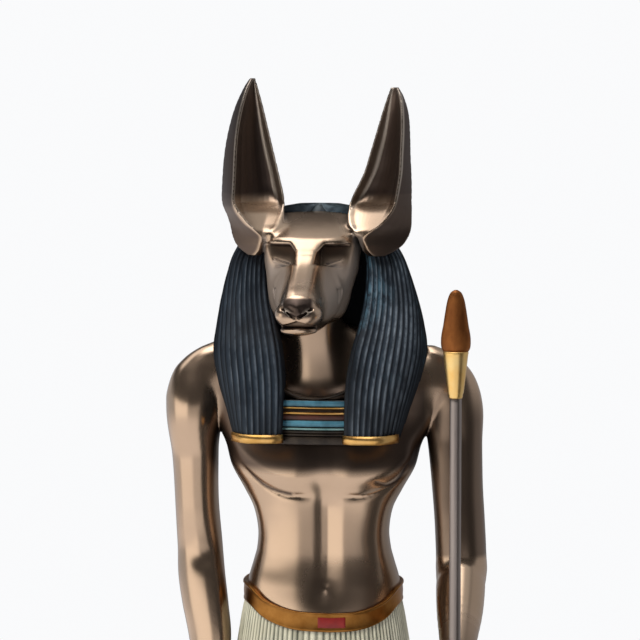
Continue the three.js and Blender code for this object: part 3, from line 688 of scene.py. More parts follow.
def head_field(p):
    ahead = -p[:, 1]
    q = p - [FACE_X, 0, 0]
    m = q.copy()
    m[:, 0] = np.abs(m[:, 0])
    u, z = m[:, 0], m[:, 2]
    whole = melt(column(q, FACE, 2.9), muzzle(q), 2.2)
    whole = eye(whole, m)
    whole = carve(whole, forehead(u, ahead, z), 1.8)
    whisker_pad = egg(m, (2.9, -29.9, 230.5), (3.2, 4.1, 2.8))
    lower_lip = egg(q, (0, -29.6, 226.4), (4.7, 3.5, 1.3))
    whole = melt(melt(whole, whisker_pad, 1.0), lower_lip, 0.8)
    whole = nose(whole, q, m)
    whole = carve(whole, mouth(q, m), 0.3)
    for i in range(3):
        furrow = bone(m, (9.0 - i * 0.6, -12.6 - i * 0.8, 235.4), (9.2 - i * 0.6, -12.6 - i * 0.8, 232.4), 0.4, 0.26)
        whole = carve(whole, furrow, 0.6)
    for side, tip in ((-1, TOTAL_HEIGHT), (1, TOTAL_HEIGHT - LEFT_EAR_SHORTER)):
        spread = -0.2 if side < 0 else 1.9
        soft = 0.6 + 3.4 * ramp(z, 246, 250) * ramp(z, 259, 254)
        whole = melt(whole, ear(p, side, tip, spread), soft)
    return np.maximum(whole, p[:, 1] - 8)


EAR = [
    # [height, inner edge, ridge, outer edge, y of the inner edge, y of the ridge, y of the outer edge, scoop]
    [243.8, 14.8, 16.0, 18.2, -6.0, -6.9, -5.8, 0],
    [245, 13.4, 14.8, 20.6, -6.4, -8, -4.8, 0],
    [246.6, 12.7, 14.0, 22.8, -7.2, -8.9, -3.9, 0],
    [248.7, 12.0, 13.4, 24.2, -8.0, -9.4, -3, 0],
    [250.4, 11.2, 15.2, 24.8, -8.0, -9.6, -2.5, 0.2],
    [252.1, 10.0, 17.6, 25, -5.6, -9.5, -2.2, 0.5],
    [254.7, 9.0, 19.9, 25, -2.4, -8.6, -1.8, 1.2],
    [256.4, 8.7, 20.8, 25, -0.8, -7.9, -1.5, 2.6],
    [257.8, 8.8, 21.1, 24.9, 0.0, -7.3, -1.1, 4.0],
    [260, 9.2, 21.2, 24.9, 0.4, -6.4, -0.6, 4.8],
    [264, 10.3, 21.2, 24.8, 0.9, -5.2, 0, 4.6],
    [270, 11.9, 21.2, 24.4, 1.6, -3.6, 0.9, 4.2],
    [276, 13.5, 20.9, 23.5, 2.6, -2.2, 1.8, 3.7],
    [282, 15.1, 20.1, 22, 3.6, -0.2, 3, 2.6],
    [287, 16.6, 19, 19.9, 4.4, 2.4, 4.2, 1.0],
    [289.4, 17.4, 18, 18.4, 4.9, 4.4, 4.9, 0.2],
]
EAR_FOOT = 256  # above this height an ear is stretched to its own tip


def ear_outline(up, spread):
    """The level outline of an ear at each height, as one pair of columns for each corner."""
    inner, ridge, outer, y_inner, y_ridge, y_outer, scoop = row_at(EAR, up)
    lean = spread * ramp(up, 254, 268)
    curl = spread * 0.8 * ramp(up, 268, 290)
    inner, ridge, outer = inner + lean, ridge + lean * 0.7 + curl, outer + curl * 1.6
    wide = outer - inner
    behind = np.minimum(5.2, wide * 0.36)
    outline = []
    for t in np.linspace(0, 1, 10)[:-1]:
        x = inner + (ridge - inner) * t
        bow = (4 * t * (1 - t)) ** 0.7
        outline.append((x, y_inner + (y_ridge - y_inner) * t ** 1.15 + scoop * bow))
    for t in np.linspace(0, 1, 5)[:-1]:
        bulge = t * (1 - t) * 0.25 * wide * 0.3
        outline.append((ridge + (outer - ridge) * t, y_ridge + (y_outer - y_ridge) * t - bulge))
    back = np.maximum(y_inner, y_outer)
    for t in np.linspace(0, 1, 9)[:-1]:
        level = y_outer + (back - y_outer) * min(1, t * 2) + (y_inner - back) * max(0, t * 2 - 1)
        outline.append((outer - wide * t, level + behind * math.sin(math.pi * t) ** 0.7))
    return outline


def ear(p, side, tip, spread):
    """One tall ear, scooped in front, with its outer rim folded back from a sharp ridge."""
    z = p[:, 2]
    stretch = (EAR[-1][0] - EAR_FOOT) / (tip - EAR_FOOT)
    up = np.where(z > EAR_FOOT, EAR_FOOT + (z - EAR_FOOT) * stretch, z)
    x, y = side * (p[:, 0] - HEAD_X), p[:, 1]
    if side < 0:
        x = x + 2.6 * ramp(z, 259, 250) * np.clip((x - 13) / 9, 0, 1.2)
    nearest = np.full(len(p), 1e9)
    inside = np.zeros(len(p), bool)
    outline = ear_outline(np.clip(up, EAR[0][0], EAR[-1][0]), spread)
    for (ax, ay), (bx, by) in zip(outline, outline[1:] + outline[:1]):
        ex, ey, px, py = bx - ax, by - ay, x - ax, y - ay
        t = np.clip((px * ex + py * ey) / np.maximum(ex * ex + ey * ey, 1e-9), 0, 1)
        nearest = np.minimum(nearest, (px - t * ex) ** 2 + (py - t * ey) ** 2)
        crosses = (ay > y) != (by > y)
        reach = ex * py / np.where(np.abs(ey) < 1e-9, 1e-9, ey)
        inside ^= crosses & (px < reach)
    flat = np.sqrt(nearest) * np.where(inside, -1, 1) - 0.25
    return np.maximum(flat, np.maximum(EAR[0][0] - up, up - EAR[-1][0]))


def make_head():
    head = sculpt("head", head_field, (-30, -38, 222), (28, 10, 292), 0.34)
    x, y, z = places_of(head)
    u, ahead, across = np.abs(x - FACE_X), -y, np.abs(x - HEAD_X)
    # Painted shade and dark reflection: the ears and their folded-back rims, the nose pad, a little of the muzzle's
    # bridge and the eye sockets, these more on the +X side, are coloured darker.
    inner_ear = ramp(z, 256.5, 260.5)
    fold = ramp(across - row_at(EAR, z)[1], -0.3, 0.8) * ramp(across, 13, 14.5)
    pad = ramp(ahead, 31, 32) * ramp(z, 229.5, 230.4) * ramp(z, 235.0, 234.5) * ramp(u, 4.2, 3.4)
    bridge = ramp(u, 4.6, 3.2) * ramp(ahead, 17, 22) * ramp(ahead, 31, 28) * ramp(z, 234, 236)
    painted_shade = np.maximum.reduce([inner_ear, 0.93 * fold, 0.95 * pad, 0.2 * bridge])
    shade = ramp(z, 242, 245) * ramp(u, 11.4, 9.4) * ramp(u, 2.4, 3.2) * ramp(z, 247.4, 246.8) * ramp(ahead, 13.2, 12.4)
    give(head, "painted_shade", np.maximum(painted_shade, shade * np.where(x > FACE_X, 0.75, 0.45)))
    socket = ramp(z, 240.4, 244.6) * ramp(u, 12.4, 9.6)
    cheek = ramp(u, 3.4, 5.8) * ramp(z, 247, 245) * ramp(ahead, 27, 19) * (1 - socket)
    side = ramp(u, 10.8, 11.8) * ramp(z, 251, 248)
    give(head, "dull", np.maximum(cheek, side) * ramp(across, 13.6, 13) * ramp(z, 227, 230))
    return head


# The wig, painted, with gold bands at the lower ends of its two lappets

WIG_ROWS = [
    # [height, centre x, half width, back, front, half gap between lappets, depth of the gap's wall]
    [195.9, -0.8, 21.1, 16.6, 17.6, 8.9, 7],
    [198, -0.8, 21.9, 17, 17.6, 8.6, 7],
    [204, -0.7, 23.7, 17.6, 17.2, 8.5, 6],
    [211, -0.6, 26, 18.2, 16.2, 8.6, 3],
    [219, -0.5, 27.5, 18.6, 14.4, 9.6, 0],
    [226, -0.6, 26.7, 18.5, 10.6, 11.4, 0],
    [232, -0.9, 25.5, 18.2, 7.4, 12.7, 0],
    [238, -1.2, 23.9, 17.8, 5.0, 13.3, 0],
    [243, -1.4, 22.2, 17, 3.6, 13.2, 0],
    [246, -1.5, 20.6, 16.4, 2.2, 12, 0],
    [249, -1.5, 18.8, 15.4, 0, 9, -1.5],
    [252.6, -1.6, 15.4, 14.2, -1.6, 5, -2.8],
    [254.2, -1.6, 13.2, 13.2, -2.6, 3, -2.9],
    [255.4, -1.7, 11.2, 12.2, -3.6, 2, -3.7],
    [256.4, -1.7, 8.8, 11, -4.7, 1.2, -4.78],
    [257, -1.7, 5.4, 9.4, -6, 0.6, -6.08],
]
# Across one lock: [place, height of its surface, how much light paint it carries]
LOCK = [[0, -0.62, 0], [0.12, 0.06, 0.55], [0.22, 0.16, 1], [0.34, 0.02, 0.25], [0.6, 0, 0.1], [0.86, -0.1, 0.05]]


def wig_outline(z, spans):
    """The wig's level outline from lappet to lappet round the back, with its outward directions."""
    centre, half, back, front, gap, wall = (float(c) for c in row_at(WIG_ROWS, z))
    corner = min(1.6, (half - gap) * 0.25, (front - wall) * 0.8)
    ahead, edge = max(front, 0), max(-front, 0)
    behind = back - edge
    side = [
        (0, back),
        (half * 0.42, edge + behind * 0.93),
        (half * 0.78, edge + behind * 0.66),
        (half * 0.96, edge + behind * 0.24),
        (half, edge - ahead * 0.22),
        (half * 0.96, edge - ahead * 0.68),
        (half * 0.85, edge - ahead * 0.92),
        (half * 0.5 + (gap + corner) * 0.5, edge - ahead * 1.01),
        (gap + corner, -front),
        (gap, -front + corner),
    ]
    other = [(-x, y) for x, y in side[:0:-1]]
    places, heading = curve_through(other + side, spans + 1)
    out = np.stack([heading[:, 1], -heading[:, 0]], axis=1)
    return places + [centre, 0], out


def make_wig():
    per_lock = len(LOCK)
    spans = WIG["locks"] * per_lock
    levels = np.concatenate([np.linspace(WIG["bottom"] + 0.4, 252, 56), np.linspace(252.6, 257, 9)])
    height = np.array([LOCK[i % per_lock][1] for i in range(spans + 1)])
    light = np.array([LOCK[i % per_lock][2] for i in range(spans + 1)])
    rings, paint = [], []
    wander = np.random.default_rng(5).normal(0, 1, (WIG["locks"] + 1, 4))
    for z in levels:
        places, out = wig_outline(z, spans)
        _, half, _, _, gap, wall = (float(c) for c in row_at(WIG_ROWS, z))
        shallow = min(1, half / 14)
        waves = np.array([math.sin(z * 0.11 + k * 1.7) for k in range(4)])
        drift = np.repeat(wander @ waves * 0.05, per_lock)[: spans + 1]
        push = (height + drift * (height > -0.3)) * shallow
        outer = np.column_stack([places + out * push[:, None], np.full(spans + 1, z)])
        centre = float(row_at(WIG_ROWS, z)[0])
        inner = [[x + centre, -wall, z] for x in (gap, 0, -gap)]
        rings.append(np.vstack([outer, inner])[::-1])
        paint.append(np.concatenate([light, [0, 0, 0]])[::-1])
    wig = loft("wig", rings)
    flat = np.concatenate([np.ravel(paint), [0, 0]])
    give(wig, "ridge", flat)
    depth = np.concatenate([height, [-0.6, -0.6, -0.6]])[::-1]
    groove = np.concatenate([np.tile(depth, len(levels)), [0, 0]])
    give(wig, "groove", np.clip(-groove / 0.6, 0, 1))
    return wig


def sweep(name, path, out, profile, closed=False):
    """A bar of one profile along a path: profile places are [outwards, upwards]."""
    rings = []
    for place, way in zip(path, out):
        rings.append([[place[0] + way[0] * o, place[1] + way[1] * o, place[2] + up] for o, up in profile])
    return loft(name, rings, closed)


def round_bar(half_height, proud, back, sides=8):
    """A bar's profile: its face is a half round, its back lies inside what carries it."""
    turn = np.linspace(-math.pi / 2, math.pi / 2, sides)
    face = [(proud * math.cos(a) ** 0.6, half_height * math.sin(a)) for a in turn]
    return [(-back, -half_height), *face, (-back, half_height)]


def make_tips():
    """The gold bands: a wide roll above a narrow one on the front of each lappet."""
    bands = []
    low, high = WIG["bottom"], WIG["bottom"] + WIG["band"]
    for side in (-1, 1):
        places, out = wig_outline((low + high) / 2, 480)
        front = float(row_at(WIG_ROWS, low)[3])
        keep = (places[:, 1] < -front * 0.68) & (side * (places[:, 0] + 0.8) > 0)
        path = np.column_stack([places[keep], np.full(keep.sum(), (low + high) / 2)])[::4]
        half = WIG["band"] / 2
        profile = [(-1.4, -half), (0.3, -half), (0.62, -half + 0.22), (0.68, -0.45), (0.42, -0.12),
                   (0.5, 0.25), (0.55, half - 0.4), (0.4, half - 0.12), (0.1, half), (-1.4, half)]
        bands.append(sweep("tip", path, out[keep][::4], profile))
    return join(bands, "lappet_tips")


def join(pieces, name):
    """Several meshes as one piece."""
    bpy.ops.object.select_all(action="DESELECT")
    for piece in pieces:
        piece.select_set(True)
    bpy.context.view_layer.objects.active = pieces[0]
    bpy.ops.object.join()
    whole = bpy.context.view_layer.objects.active
    whole.name = name
    bpy.ops.object.select_all(action="DESELECT")
    return whole


# The broad collar between the lappets: [low, high, proud, finish], from the top down
COLLAR_BANDS = [
    [206.85, 207.5, 0.4, "umber"],
    [205.05, 206.8, 0.7, "turquoise"],
    [204.55, 205.0, 0.85, "tip_gold"],
    [203.75, 204.5, 0.25, "umber"],
    [203.1, 203.7, 0.85, "tip_gold"],
    [201.6, 203.05, 0.35, "oxblood"],
    [199.85, 201.45, 0.75, "turquoise"],
    [199.05, 199.55, 0.8, "verdigris"],
    [198.15, 198.95, 0.3, "umber"],
    [197.55, 198.0, 0.7, "umber"],
    [195.2, 197.4, 0.35, "umber"],
]


def chest_depth(x, z):
    return 14.5 - (z - 195.2) / 12 * 0.9 - (x / 16) ** 2 * 2


def make_collar(finishes):
    bars = []
    across = np.linspace(-COLLAR["half_width"], COLLAR["half_width"], 25)
    for low, high, proud, finish in COLLAR_BANDS:
        z = (low + high) / 2
        rise = (across / 9) ** 2 * 2.4 if z > 206.9 else across * 0
        path = np.column_stack([across + COLLAR["middle"], -chest_depth(across, z) + rise * 0.2, z + rise])
        out = np.tile([0, -1], (len(across), 1))
        bar = sweep("bar", path, out, round_bar((high - low) / 2, proud, 3.0))
        bar.data.materials.append(finishes[finish])
        bars.append(bar)
    ground = [[0, -5.6], [0.1, 5.8], [-9, 5.8], [-9, -5.6]]
    path = np.column_stack([across + COLLAR["middle"], -chest_depth(across, 201), across * 0 + 201])
    back = sweep("ground", path, np.tile([0, -1], (len(across), 1)), ground[::-1])
    back.data.materials.append(finishes["umber"])
    return join([*bars, back], "collar")


# Belt and kilt share one outline

HIPS = [
    # [height, half width, front, back]
    [90, 25.4, 20.4, 19.4],
    [105, 25.8, 19.4, 19],
    [120, 25.2, 17.6, 18],
    [135, 23.8, 15.8, 16.8],
    [148, 21.8, 15, 15.6],
    [153, 20.8, 14.8, 14.8],
    [158, 20, 14.2, 13.8],
    [164, 18.6, 13, 12.4],
]
BELT_RISE = [
    [0, 0],
    [0.35, 0.5],
    [0.75, 2.6],
    [1.15, 5.6],
    [1.6, BELT["side"] - BELT["front"]],
    [2.3, BELT["side"] - BELT["front"] + 0.6],
    [math.pi, BELT["side"] - BELT["front"] + 0.6],
]


def belt_height(angle):
    """The middle of the belt at an angle round the waist: it dips in front, a little to the left side."""
    turn = np.abs(np.arctan2(np.sin(angle - BELT["lowest"]), np.cos(angle - BELT["lowest"])))
    return BELT["front"] + row_at(BELT_RISE, turn)[0]


def hip_places(angle, z, proud=0.0):
    """Places on the outline at these heights, or that far out of it."""
    half, front, back = row_at(HIPS, z)
    depth = np.where(np.sin(angle) < 0, front, back)
    x = (half + proud) * rounded(np.cos(angle), 2.3)
    y = (depth + proud) * rounded(np.sin(angle), 2.3)
    return np.stack([x, y, z + 0 * x], axis=-1)


def make_kilt():
    per_pleat = 7
    sides = KILT["pleats"] * per_pleat
    random = np.random.default_rng(11)
    angle = 2 * math.pi * np.arange(sides) / sides
    phase = np.arange(sides) / per_pleat
    pleat = phase.astype(int)
    depth = random.uniform(0.65, 1.1, KILT["pleats"] + 1)[pleat]
    shift = random.uniform(-0.6, 0.6, KILT["pleats"] + 1)
    levels = np.linspace(0, 1, 44)
    top = belt_height(angle)
    rings, grooves = [], []
    for level in levels:
        sway = 0.35 * np.sin(level * 5 + shift[pleat] * 6)
        fold = np.abs(np.sin(math.pi * (phase - pleat))) ** 0.7
        flare = 0.55 + 0.45 * (1 - level)
        push = (fold - 1) * KILT["depth"] * depth * flare * 1.7
        hem = 0.35 * ramp(level, 0.03, 0.0) + 0.12 * np.exp(-((level - 0.05) / 0.012) ** 2)
        turn = angle + sway * 0.004 * (1 - level)
        z = KILT["hem"] + (top - KILT["hem"]) * level
        rings.append(hip_places(turn, z, push - hem))
        grooves.append(1 - fold)
    kilt = loft("kilt", rings)
    give(kilt, "groove", np.concatenate([np.ravel(grooves), [1, 1]]))
    return kilt


def belt_path(proud, rise=0.0, count=160):
    angle = 2 * math.pi * np.arange(count) / count
    path = hip_places(angle, belt_height(angle) + rise, proud)
    inner = hip_places(angle, belt_height(angle) + rise, proud - 1)
    out = (path - inner)[:, :2]
    return path, out / np.linalg.norm(out, axis=1)[:, None]


def make_belt():
    """A raised band, a little hollow between a bright upper bead and a softer lower edge."""
    half = BELT["height"] / 2
    path, out = belt_path(0)
    proud = BELT["proud"]
    profile = [(-2, -half), (proud - 0.3, -half), (proud, -half + 0.25), (proud, -half + 0.6),
               (proud - 0.12, -half + 0.9), (proud - 0.05, 0), (proud - 0.14, half - 1.0),
               (proud - 0.1, half - 0.62), (proud + 0.14, half - 0.4), (proud + 0.12, half - 0.1),
               (proud - 0.2, half), (-2, half)]
    return sweep("belt", path, out, profile, closed=True)


def make_inlay():
    """The flush red panel at the belt's lowest place."""
    x = INLAY["x"] + np.linspace(-0.5, 0.5, 15) * INLAY["width"]
    half = float(row_at(HIPS, BELT["front"])[0]) + BELT["proud"]
    angle = -math.pi / 2 + np.sign(x) * np.arcsin(np.abs(x / half) ** (2.3 / 2))
    path = hip_places(angle, belt_height(angle), BELT["proud"])
    inner = hip_places(angle, belt_height(angle), BELT["proud"] - 1)
    out = (path - inner)[:, :2]
    half = INLAY["height"] / 2
    profile = [(-0.5, -half), (0.02, -half), (0.08, -half + 0.12), (0.08, half - 0.12), (0.02, half), (-0.5, half)]
    return sweep("belt_inlay", path, out, profile)


# Spear and base

def spun(name, profile, sides=32):
    """A turned piece on the spear's axis, by rows of [height, radius]."""
    angle = 2 * math.pi * np.arange(sides) / sides
    ring = np.column_stack([np.cos(angle), np.sin(angle)])
    rings = [np.column_stack([ring * r + [SPEAR["x"], SPEAR["y"]], np.full(sides, z)]) for z, r in profile]
    return loft(name, rings)


def make_shaft():
    r = SPEAR["radius"]
    profile = [(SOLE, r * 0.6), (SOLE + 0.3, r * 0.6), (SOLE + 1, r)]
    profile += [(z, r * (1 + 0.012 * math.sin(z * 0.7) * math.sin(z * 0.23))) for z in np.linspace(SOLE + 2, SPEAR["socket"] + 1, 90)]
    return spun("spear_shaft", profile)


def make_socket():
    foot, top, r = SPEAR["socket"], SPEAR["blade"], SPEAR["radius"]
    profile = [(foot, r * 0.7), (foot, r * 1.1), (foot + 0.4, r * 1.2), (foot + 0.9, r * 1.2)]
    profile += [(z, r * 1.2 + (3.2 - r * 1.2) * ((z - foot) / (top - foot)) ** 0.9) for z in np.linspace(foot + 1.4, top - 0.8, 14)]
    profile += [(top - 0.3, 3.24), (top, 3.1), (top + 0.05, 2.0)]
    piece = spun("spear_socket", profile)
    return piece


BLADE = [
    # [height over the socket, half width, half thickness]
    [0.02, 3.2, 2.2],
    [0.6, 3.55, 2.35],
    [2, 3.75, 2.4],
    [4, 3.65, 2.3],
    [6.5, 3.2, 2.05],
    [9.5, 2.75, 1.8],
    [12.4, 2.25, 1.5],
    [14, 1.75, 1.25],
    [14.9, 1.2, 0.9],
    [15.4, 0.4, 0.4],
]


def make_blade():
    sides = 28
    angle = 2 * math.pi * np.arange(sides) / sides
    rings = []
    for up in np.concatenate([[0.02, 0.2], np.linspace(0.6, 13.4, 26), np.linspace(13.7, 15.4, 8)]):
        half, thick = (float(c) for c in row_at(BLADE, up))
        x = SPEAR["x"] + half * rounded(np.cos(angle), 1.75)
        y = SPEAR["y"] + thick * rounded(np.sin(angle), 1.75)
        rings.append(np.column_stack([x, y, np.full(sides, SPEAR["blade"] + up)]))
    return loft("spear_blade", rings)


def make_base():
    """A low block with softened edges."""
    middle, size = (BASE_LOW + BASE_HIGH) / 2, BASE_HIGH - BASE_LOW
    bpy.ops.mesh.primitive_cube_add(size=1, location=middle)
    block = bpy.context.active_object
    block.name = "base_block"
    block.scale = size
    bpy.ops.object.transform_apply(location=True, rotation=True, scale=True)
    bevel = block.modifiers.new("edges", "BEVEL")
    bevel.width = 1.3 * MM
    bevel.segments = 5
    bevel.harden_normals = True
    bpy.ops.object.modifier_apply(modifier=bevel.name)
    bpy.ops.object.select_all(action="DESELECT")
    block.select_set(True)
    bpy.ops.object.shade_smooth_by_angle(angle=math.radians(30))
    bpy.ops.object.select_all(action="DESELECT")
    return block


# Finishes

class Value:
    """A shader socket that takes part in Python expressions as a number."""

    def __init__(self, tree, socket):
        self.tree, self.socket = tree, socket

    def math(self, operation, *others, first=None):
        node = self.tree.nodes.new("ShaderNodeMath")
        node.operation = operation
        terms = ([] if first is None else [first]) + [self] + list(others)
        for entry, term in zip(node.inputs, terms):
            if isinstance(term, Value):
                self.tree.links.new(term.socket, entry)
            else:
                entry.default_value = term
        return Value(self.tree, node.outputs[0])

    def __add__(self, other): return self.math("ADD", other)
    def __radd__(self, other): return self.math("ADD", other)
    def __sub__(self, other): return self.math("SUBTRACT", other)
    def __rsub__(self, other): return self.math("SUBTRACT", first=other)
    def __mul__(self, other): return self.math("MULTIPLY", other)
    def __rmul__(self, other): return self.math("MULTIPLY", other)
    def __truediv__(self, other): return self.math("DIVIDE", other)
    def __pow__(self, other): return self.math("POWER", other)

    def clamp(self):
        return self.math("MAXIMUM", 0.0).math("MINIMUM", 1.0)

    def step(self, low, high):
        """0 below low, 1 above high."""
        return ((self - low) / (high - low)).clamp()


class Finish:
    """One material and a short way to add nodes to it."""

    def __init__(self, name, **shader):
        self.material = bpy.data.materials.new(name)
        self.material.use_nodes = True
        self.tree = self.material.node_tree
        self.shader = self.tree.nodes["Principled BSDF"]
        for socket, value in shader.items():
            self.shader.inputs[socket.replace("_", " ")].default_value = value

    def node(self, kind, settings=None, inputs=None, output=0):
        node = self.tree.nodes.new("ShaderNode" + kind)
        for name, value in (settings or {}).items():
            setattr(node, name, value)
        for name, value in (inputs or {}).items():
            socket = node.inputs[name]
            if isinstance(value, Value):
                self.tree.links.new(value.socket, socket)
            else:
                socket.default_value = value
        return Value(self.tree, node.outputs[output])

    def place(self):
        return self.node("TexCoord", output="Object")

    def attribute(self, name):
        return self.node("Attribute", {"attribute_name": name}, output="Fac")

    def noise(self, scale, detail=3.0, rough=0.5, stretch=(1, 1, 1)):
        place = self.node("Mapping", None, {"Vector": self.place(), "Scale": stretch})
        return self.node("TexNoise", None, {"Vector": place, "Scale": scale, "Detail": detail, "Roughness": rough})

    def mix(self, factor, first, second):
        """Two colours by a factor."""
        return self.node("Mix", {"data_type": "RGBA"}, {0: factor, 6: first, 7: second}, output=2)

    def into(self, socket, value):
        self.tree.links.new(value.socket, self.shader.inputs[socket])

    def bump(self, height, distance, strength=1.0):
        self.into("Normal", self.node("Bump", None, {"Height": height, "Distance": distance, "Strength": strength}))


def rgb(r, g, b):
    return (r, g, b, 1.0)


def polished_bronze():
    """Polished warm bronze with painted shade: darker in its creases and hollows, partly as an antique dark finish,
    darker where other parts stand close, and darker in the places each piece marks for shade and dark reflection.
    """
    f = Finish("polished_bronze")
    cloud = f.noise(55, 4, 0.55)
    grain = f.noise(1400, 3, 0.6)
    crease = f.attribute("crease")
    hollow = f.attribute("hollow")
    edge = f.attribute("edge")
    painted_shade = f.attribute("painted_shade")
    tone = f.mix(cloud.step(0.3, 0.7), rgb(0.58, 0.41, 0.28), rgb(0.64, 0.455, 0.32))
    # Painted shade and dark reflection: the colour goes dark over the places each piece marks.
    tone = f.mix(painted_shade * (0.85 + cloud * 0.3), tone, rgb(0.1, 0.071, 0.058))
    # Painted shade in creases and hollows, partly an antique dark finish, and painted shade where other parts lie
    # within 12 mm, as between the arms and the trunk.
    painted_shade_between_parts = f.attribute("painted_shade_between_parts")
    dark = (crease.step(0.25, 0.95) * 0.75 + hollow.step(0.35, 1.0) * 0.35 + painted_shade_between_parts.step(0.15, 0.75) * 0.45).clamp()
    tone = f.mix(dark, tone, rgb(0.05, 0.033, 0.026))
    # Sharp edges are lighter, more so inside the painted shade.
    tone = f.mix(edge.step(0.5, 0.95) * (0.35 + painted_shade * 0.3), tone, rgb(0.78, 0.66, 0.54))
    dull = f.attribute("dull")
    tone = f.mix(dull * 0.75, tone, rgb(0.27, 0.23, 0.205))
    f.into("Metallic", 1.0 - dull * (0.3 + cloud * 0.3))
    f.into("Base Color", tone)
    f.into("Roughness", 0.2 + cloud.step(0.3, 0.75) * 0.06 + dark * 0.2 + painted_shade * 0.14 + dull * 0.16 + grain * 0.03)
    f.bump(grain, 0.000003, 0.5)
    return f.material


def wig_paint():
    """Black-blue paint, dry-brushed with light blue-grey along the locks and over the crown, where it also stands for a
    painted highlight, with painted shade in the grooves.
    """
    f = Finish("wig_paint", Specular_IOR_Level=0.35)
    ridge = f.attribute("ridge")
    groove = f.attribute("groove")
    patch = f.noise(90, 4, 0.6, (1, 1, 0.5))
    fleck = f.noise(700, 3, 0.7, (1, 1, 0.25))
    blue = f.noise(60, 3, 0.5, (1, 1, 0.6))
    ground = f.mix(patch.step(0.35, 0.7), rgb(0.006, 0.008, 0.012), rgb(0.013, 0.022, 0.034))
    left = f.node("SeparateXYZ", None, {0: f.place()}, output="X").step(-0.004, 0.012)
    ground = f.mix(blue.step(0.5, 0.62) * fleck.step(0.4, 0.62) * left, ground, rgb(0.06, 0.13, 0.18))
    brushed = (ridge * fleck.step(0.3, 0.6) * (0.35 + patch.step(0.4, 0.65))).clamp()
    tone = f.mix(brushed * (0.38 + left * 0.37), ground, rgb(0.17, 0.2, 0.235))
    # Painted shade: the grooves between the locks and the wall between the lappets go near black, darker than the
    # ground paint, and the dry brush misses them.
    tone = f.mix(groove.step(0.2, 0.9), tone, rgb(0.002, 0.003, 0.005))
    # The wig's top takes light blue-grey flecks: dry brush, and a painted highlight where light falls on the crown.
    crown = f.node("SeparateXYZ", None, {0: f.place()}, output="Z").step(0.2535, 0.2575)
    tone = f.mix(crown * fleck.step(0.3, 0.6) * 0.45, tone, rgb(0.16, 0.2, 0.22))
    f.into("Base Color", tone)
    f.into("Roughness", 0.42 + fleck * 0.2)
    f.bump(fleck, 0.00006, 0.6)
    return f.material


def gold(name, tone_a, tone_b):
    """Amber-gold metallic paint."""
    f = Finish(name, Metallic=1.0)
    cloud = f.noise(220, 4, 0.6)
    grain = f.noise(1800, 2, 0.6)
    f.into("Base Color", f.mix(cloud.step(0.35, 0.68), rgb(*tone_a), rgb(*tone_b)))
    f.into("Roughness", 0.26 + cloud * 0.16)
    f.bump(grain, 0.00002, 0.6)
    return f.material


def paint(name, low, high, roughness=0.4, metallic=0.0, scale=260):
    """A brushed-on colour with a little variation."""
    f = Finish(name, Metallic=metallic)
    cloud = f.noise(scale, 4, 0.6)
    f.into("Base Color", f.mix(cloud.step(0.35, 0.65), rgb(*low), rgb(*high)))
    f.into("Roughness", roughness + cloud * 0.2)
    f.bump(cloud, 0.00003, 0.5)
    return f.material


def kilt_paint():
    """Cream paint with a thin grey-blue wash in the folds."""
    f = Finish("kilt_paint", Specular_IOR_Level=0.3)
    groove = f.attribute("groove")
    streak = f.noise(420, 4, 0.65, (1, 1, 0.12))
    patch = f.noise(70, 3, 0.5)
    cream = f.mix(patch.step(0.35, 0.7), rgb(0.54, 0.51, 0.38), rgb(0.72, 0.70, 0.57))
    wash = (groove.step(0.1, 0.7) * 0.75 + streak.step(0.45, 0.7) * 0.5).clamp()
    tone = f.mix(wash, cream, rgb(0.11, 0.115, 0.085))
    f.into("Base Color", tone)
    f.into("Roughness", 0.5 + streak * 0.25)
    f.bump(streak, 0.0001, 0.6)
    return f.material


def rod_bronze():
    """Grey-brown bronze rod with drawn streaks."""
    f = Finish("rod_bronze", Metallic=1.0)
    streak = f.noise(500, 4, 0.6, (1, 1, 0.06))
    f.into("Base Color", f.mix(streak.step(0.35, 0.65), rgb(0.30, 0.25, 0.225), rgb(0.43, 0.365, 0.33)))
    f.into("Roughness", 0.34 + streak * 0.14)
    return f.material


def blade_copper():
    """Orange-brown copper paint on the blade."""
    f = Finish("blade_copper", Metallic=0.85)
    cloud = f.noise(240, 4, 0.6, (1, 1, 0.5))
    f.into("Base Color", f.mix(cloud.step(0.35, 0.65), rgb(0.19, 0.06, 0.015), rgb(0.34, 0.12, 0.03)))
    f.into("Roughness", 0.36 + cloud * 0.16)
    f.bump(cloud, 0.00005, 0.5)
    return f.material


def block_bronze():
    """Dark satin bronze, lighter and darker in soft patches."""
    f = Finish("block_bronze", Metallic=1.0)
    cloud = f.noise(45, 5, 0.6)
    f.into("Base Color", f.mix(cloud.step(0.35, 0.7), rgb(0.10, 0.072, 0.055), rgb(0.19, 0.14, 0.105)))
    f.into("Roughness", 0.36 + cloud * 0.2)
    f.bump(f.noise(900, 3, 0.6), 0.00004, 0.5)
    return f.material


# Stage, light and camera

BACKDROP = (0.955, 0.96, 0.97)


def make_floor():
    bpy.ops.mesh.primitive_circle_add(vertices=96, radius=0.7, fill_type="NGON")
    floor = bpy.context.active_object
    floor.name = "floor"
    f = Finish("floor_paper", Roughness=0.9)
    f.shader.inputs["Base Color"].default_value = rgb(0.86, 0.86, 0.87)
    across = f.node("VectorMath", {"operation": "LENGTH"}, {0: f.place()}, output="Value")
    glow = f.node("Emission", None, {"Color": rgb(*BACKDROP)})
    both = f.tree.nodes.new("ShaderNodeMixShader")
    f.tree.links.new(across.step(0.22, 0.62).socket, both.inputs[0])
    f.tree.links.new(f.shader.outputs[0], both.inputs[1])
    f.tree.links.new(glow.socket, both.inputs[2])
    f.tree.links.new(both.outputs[0], f.tree.nodes["Material Output"].inputs[0])
    floor.data.materials.append(f.material)
    floor.visible_glossy = False


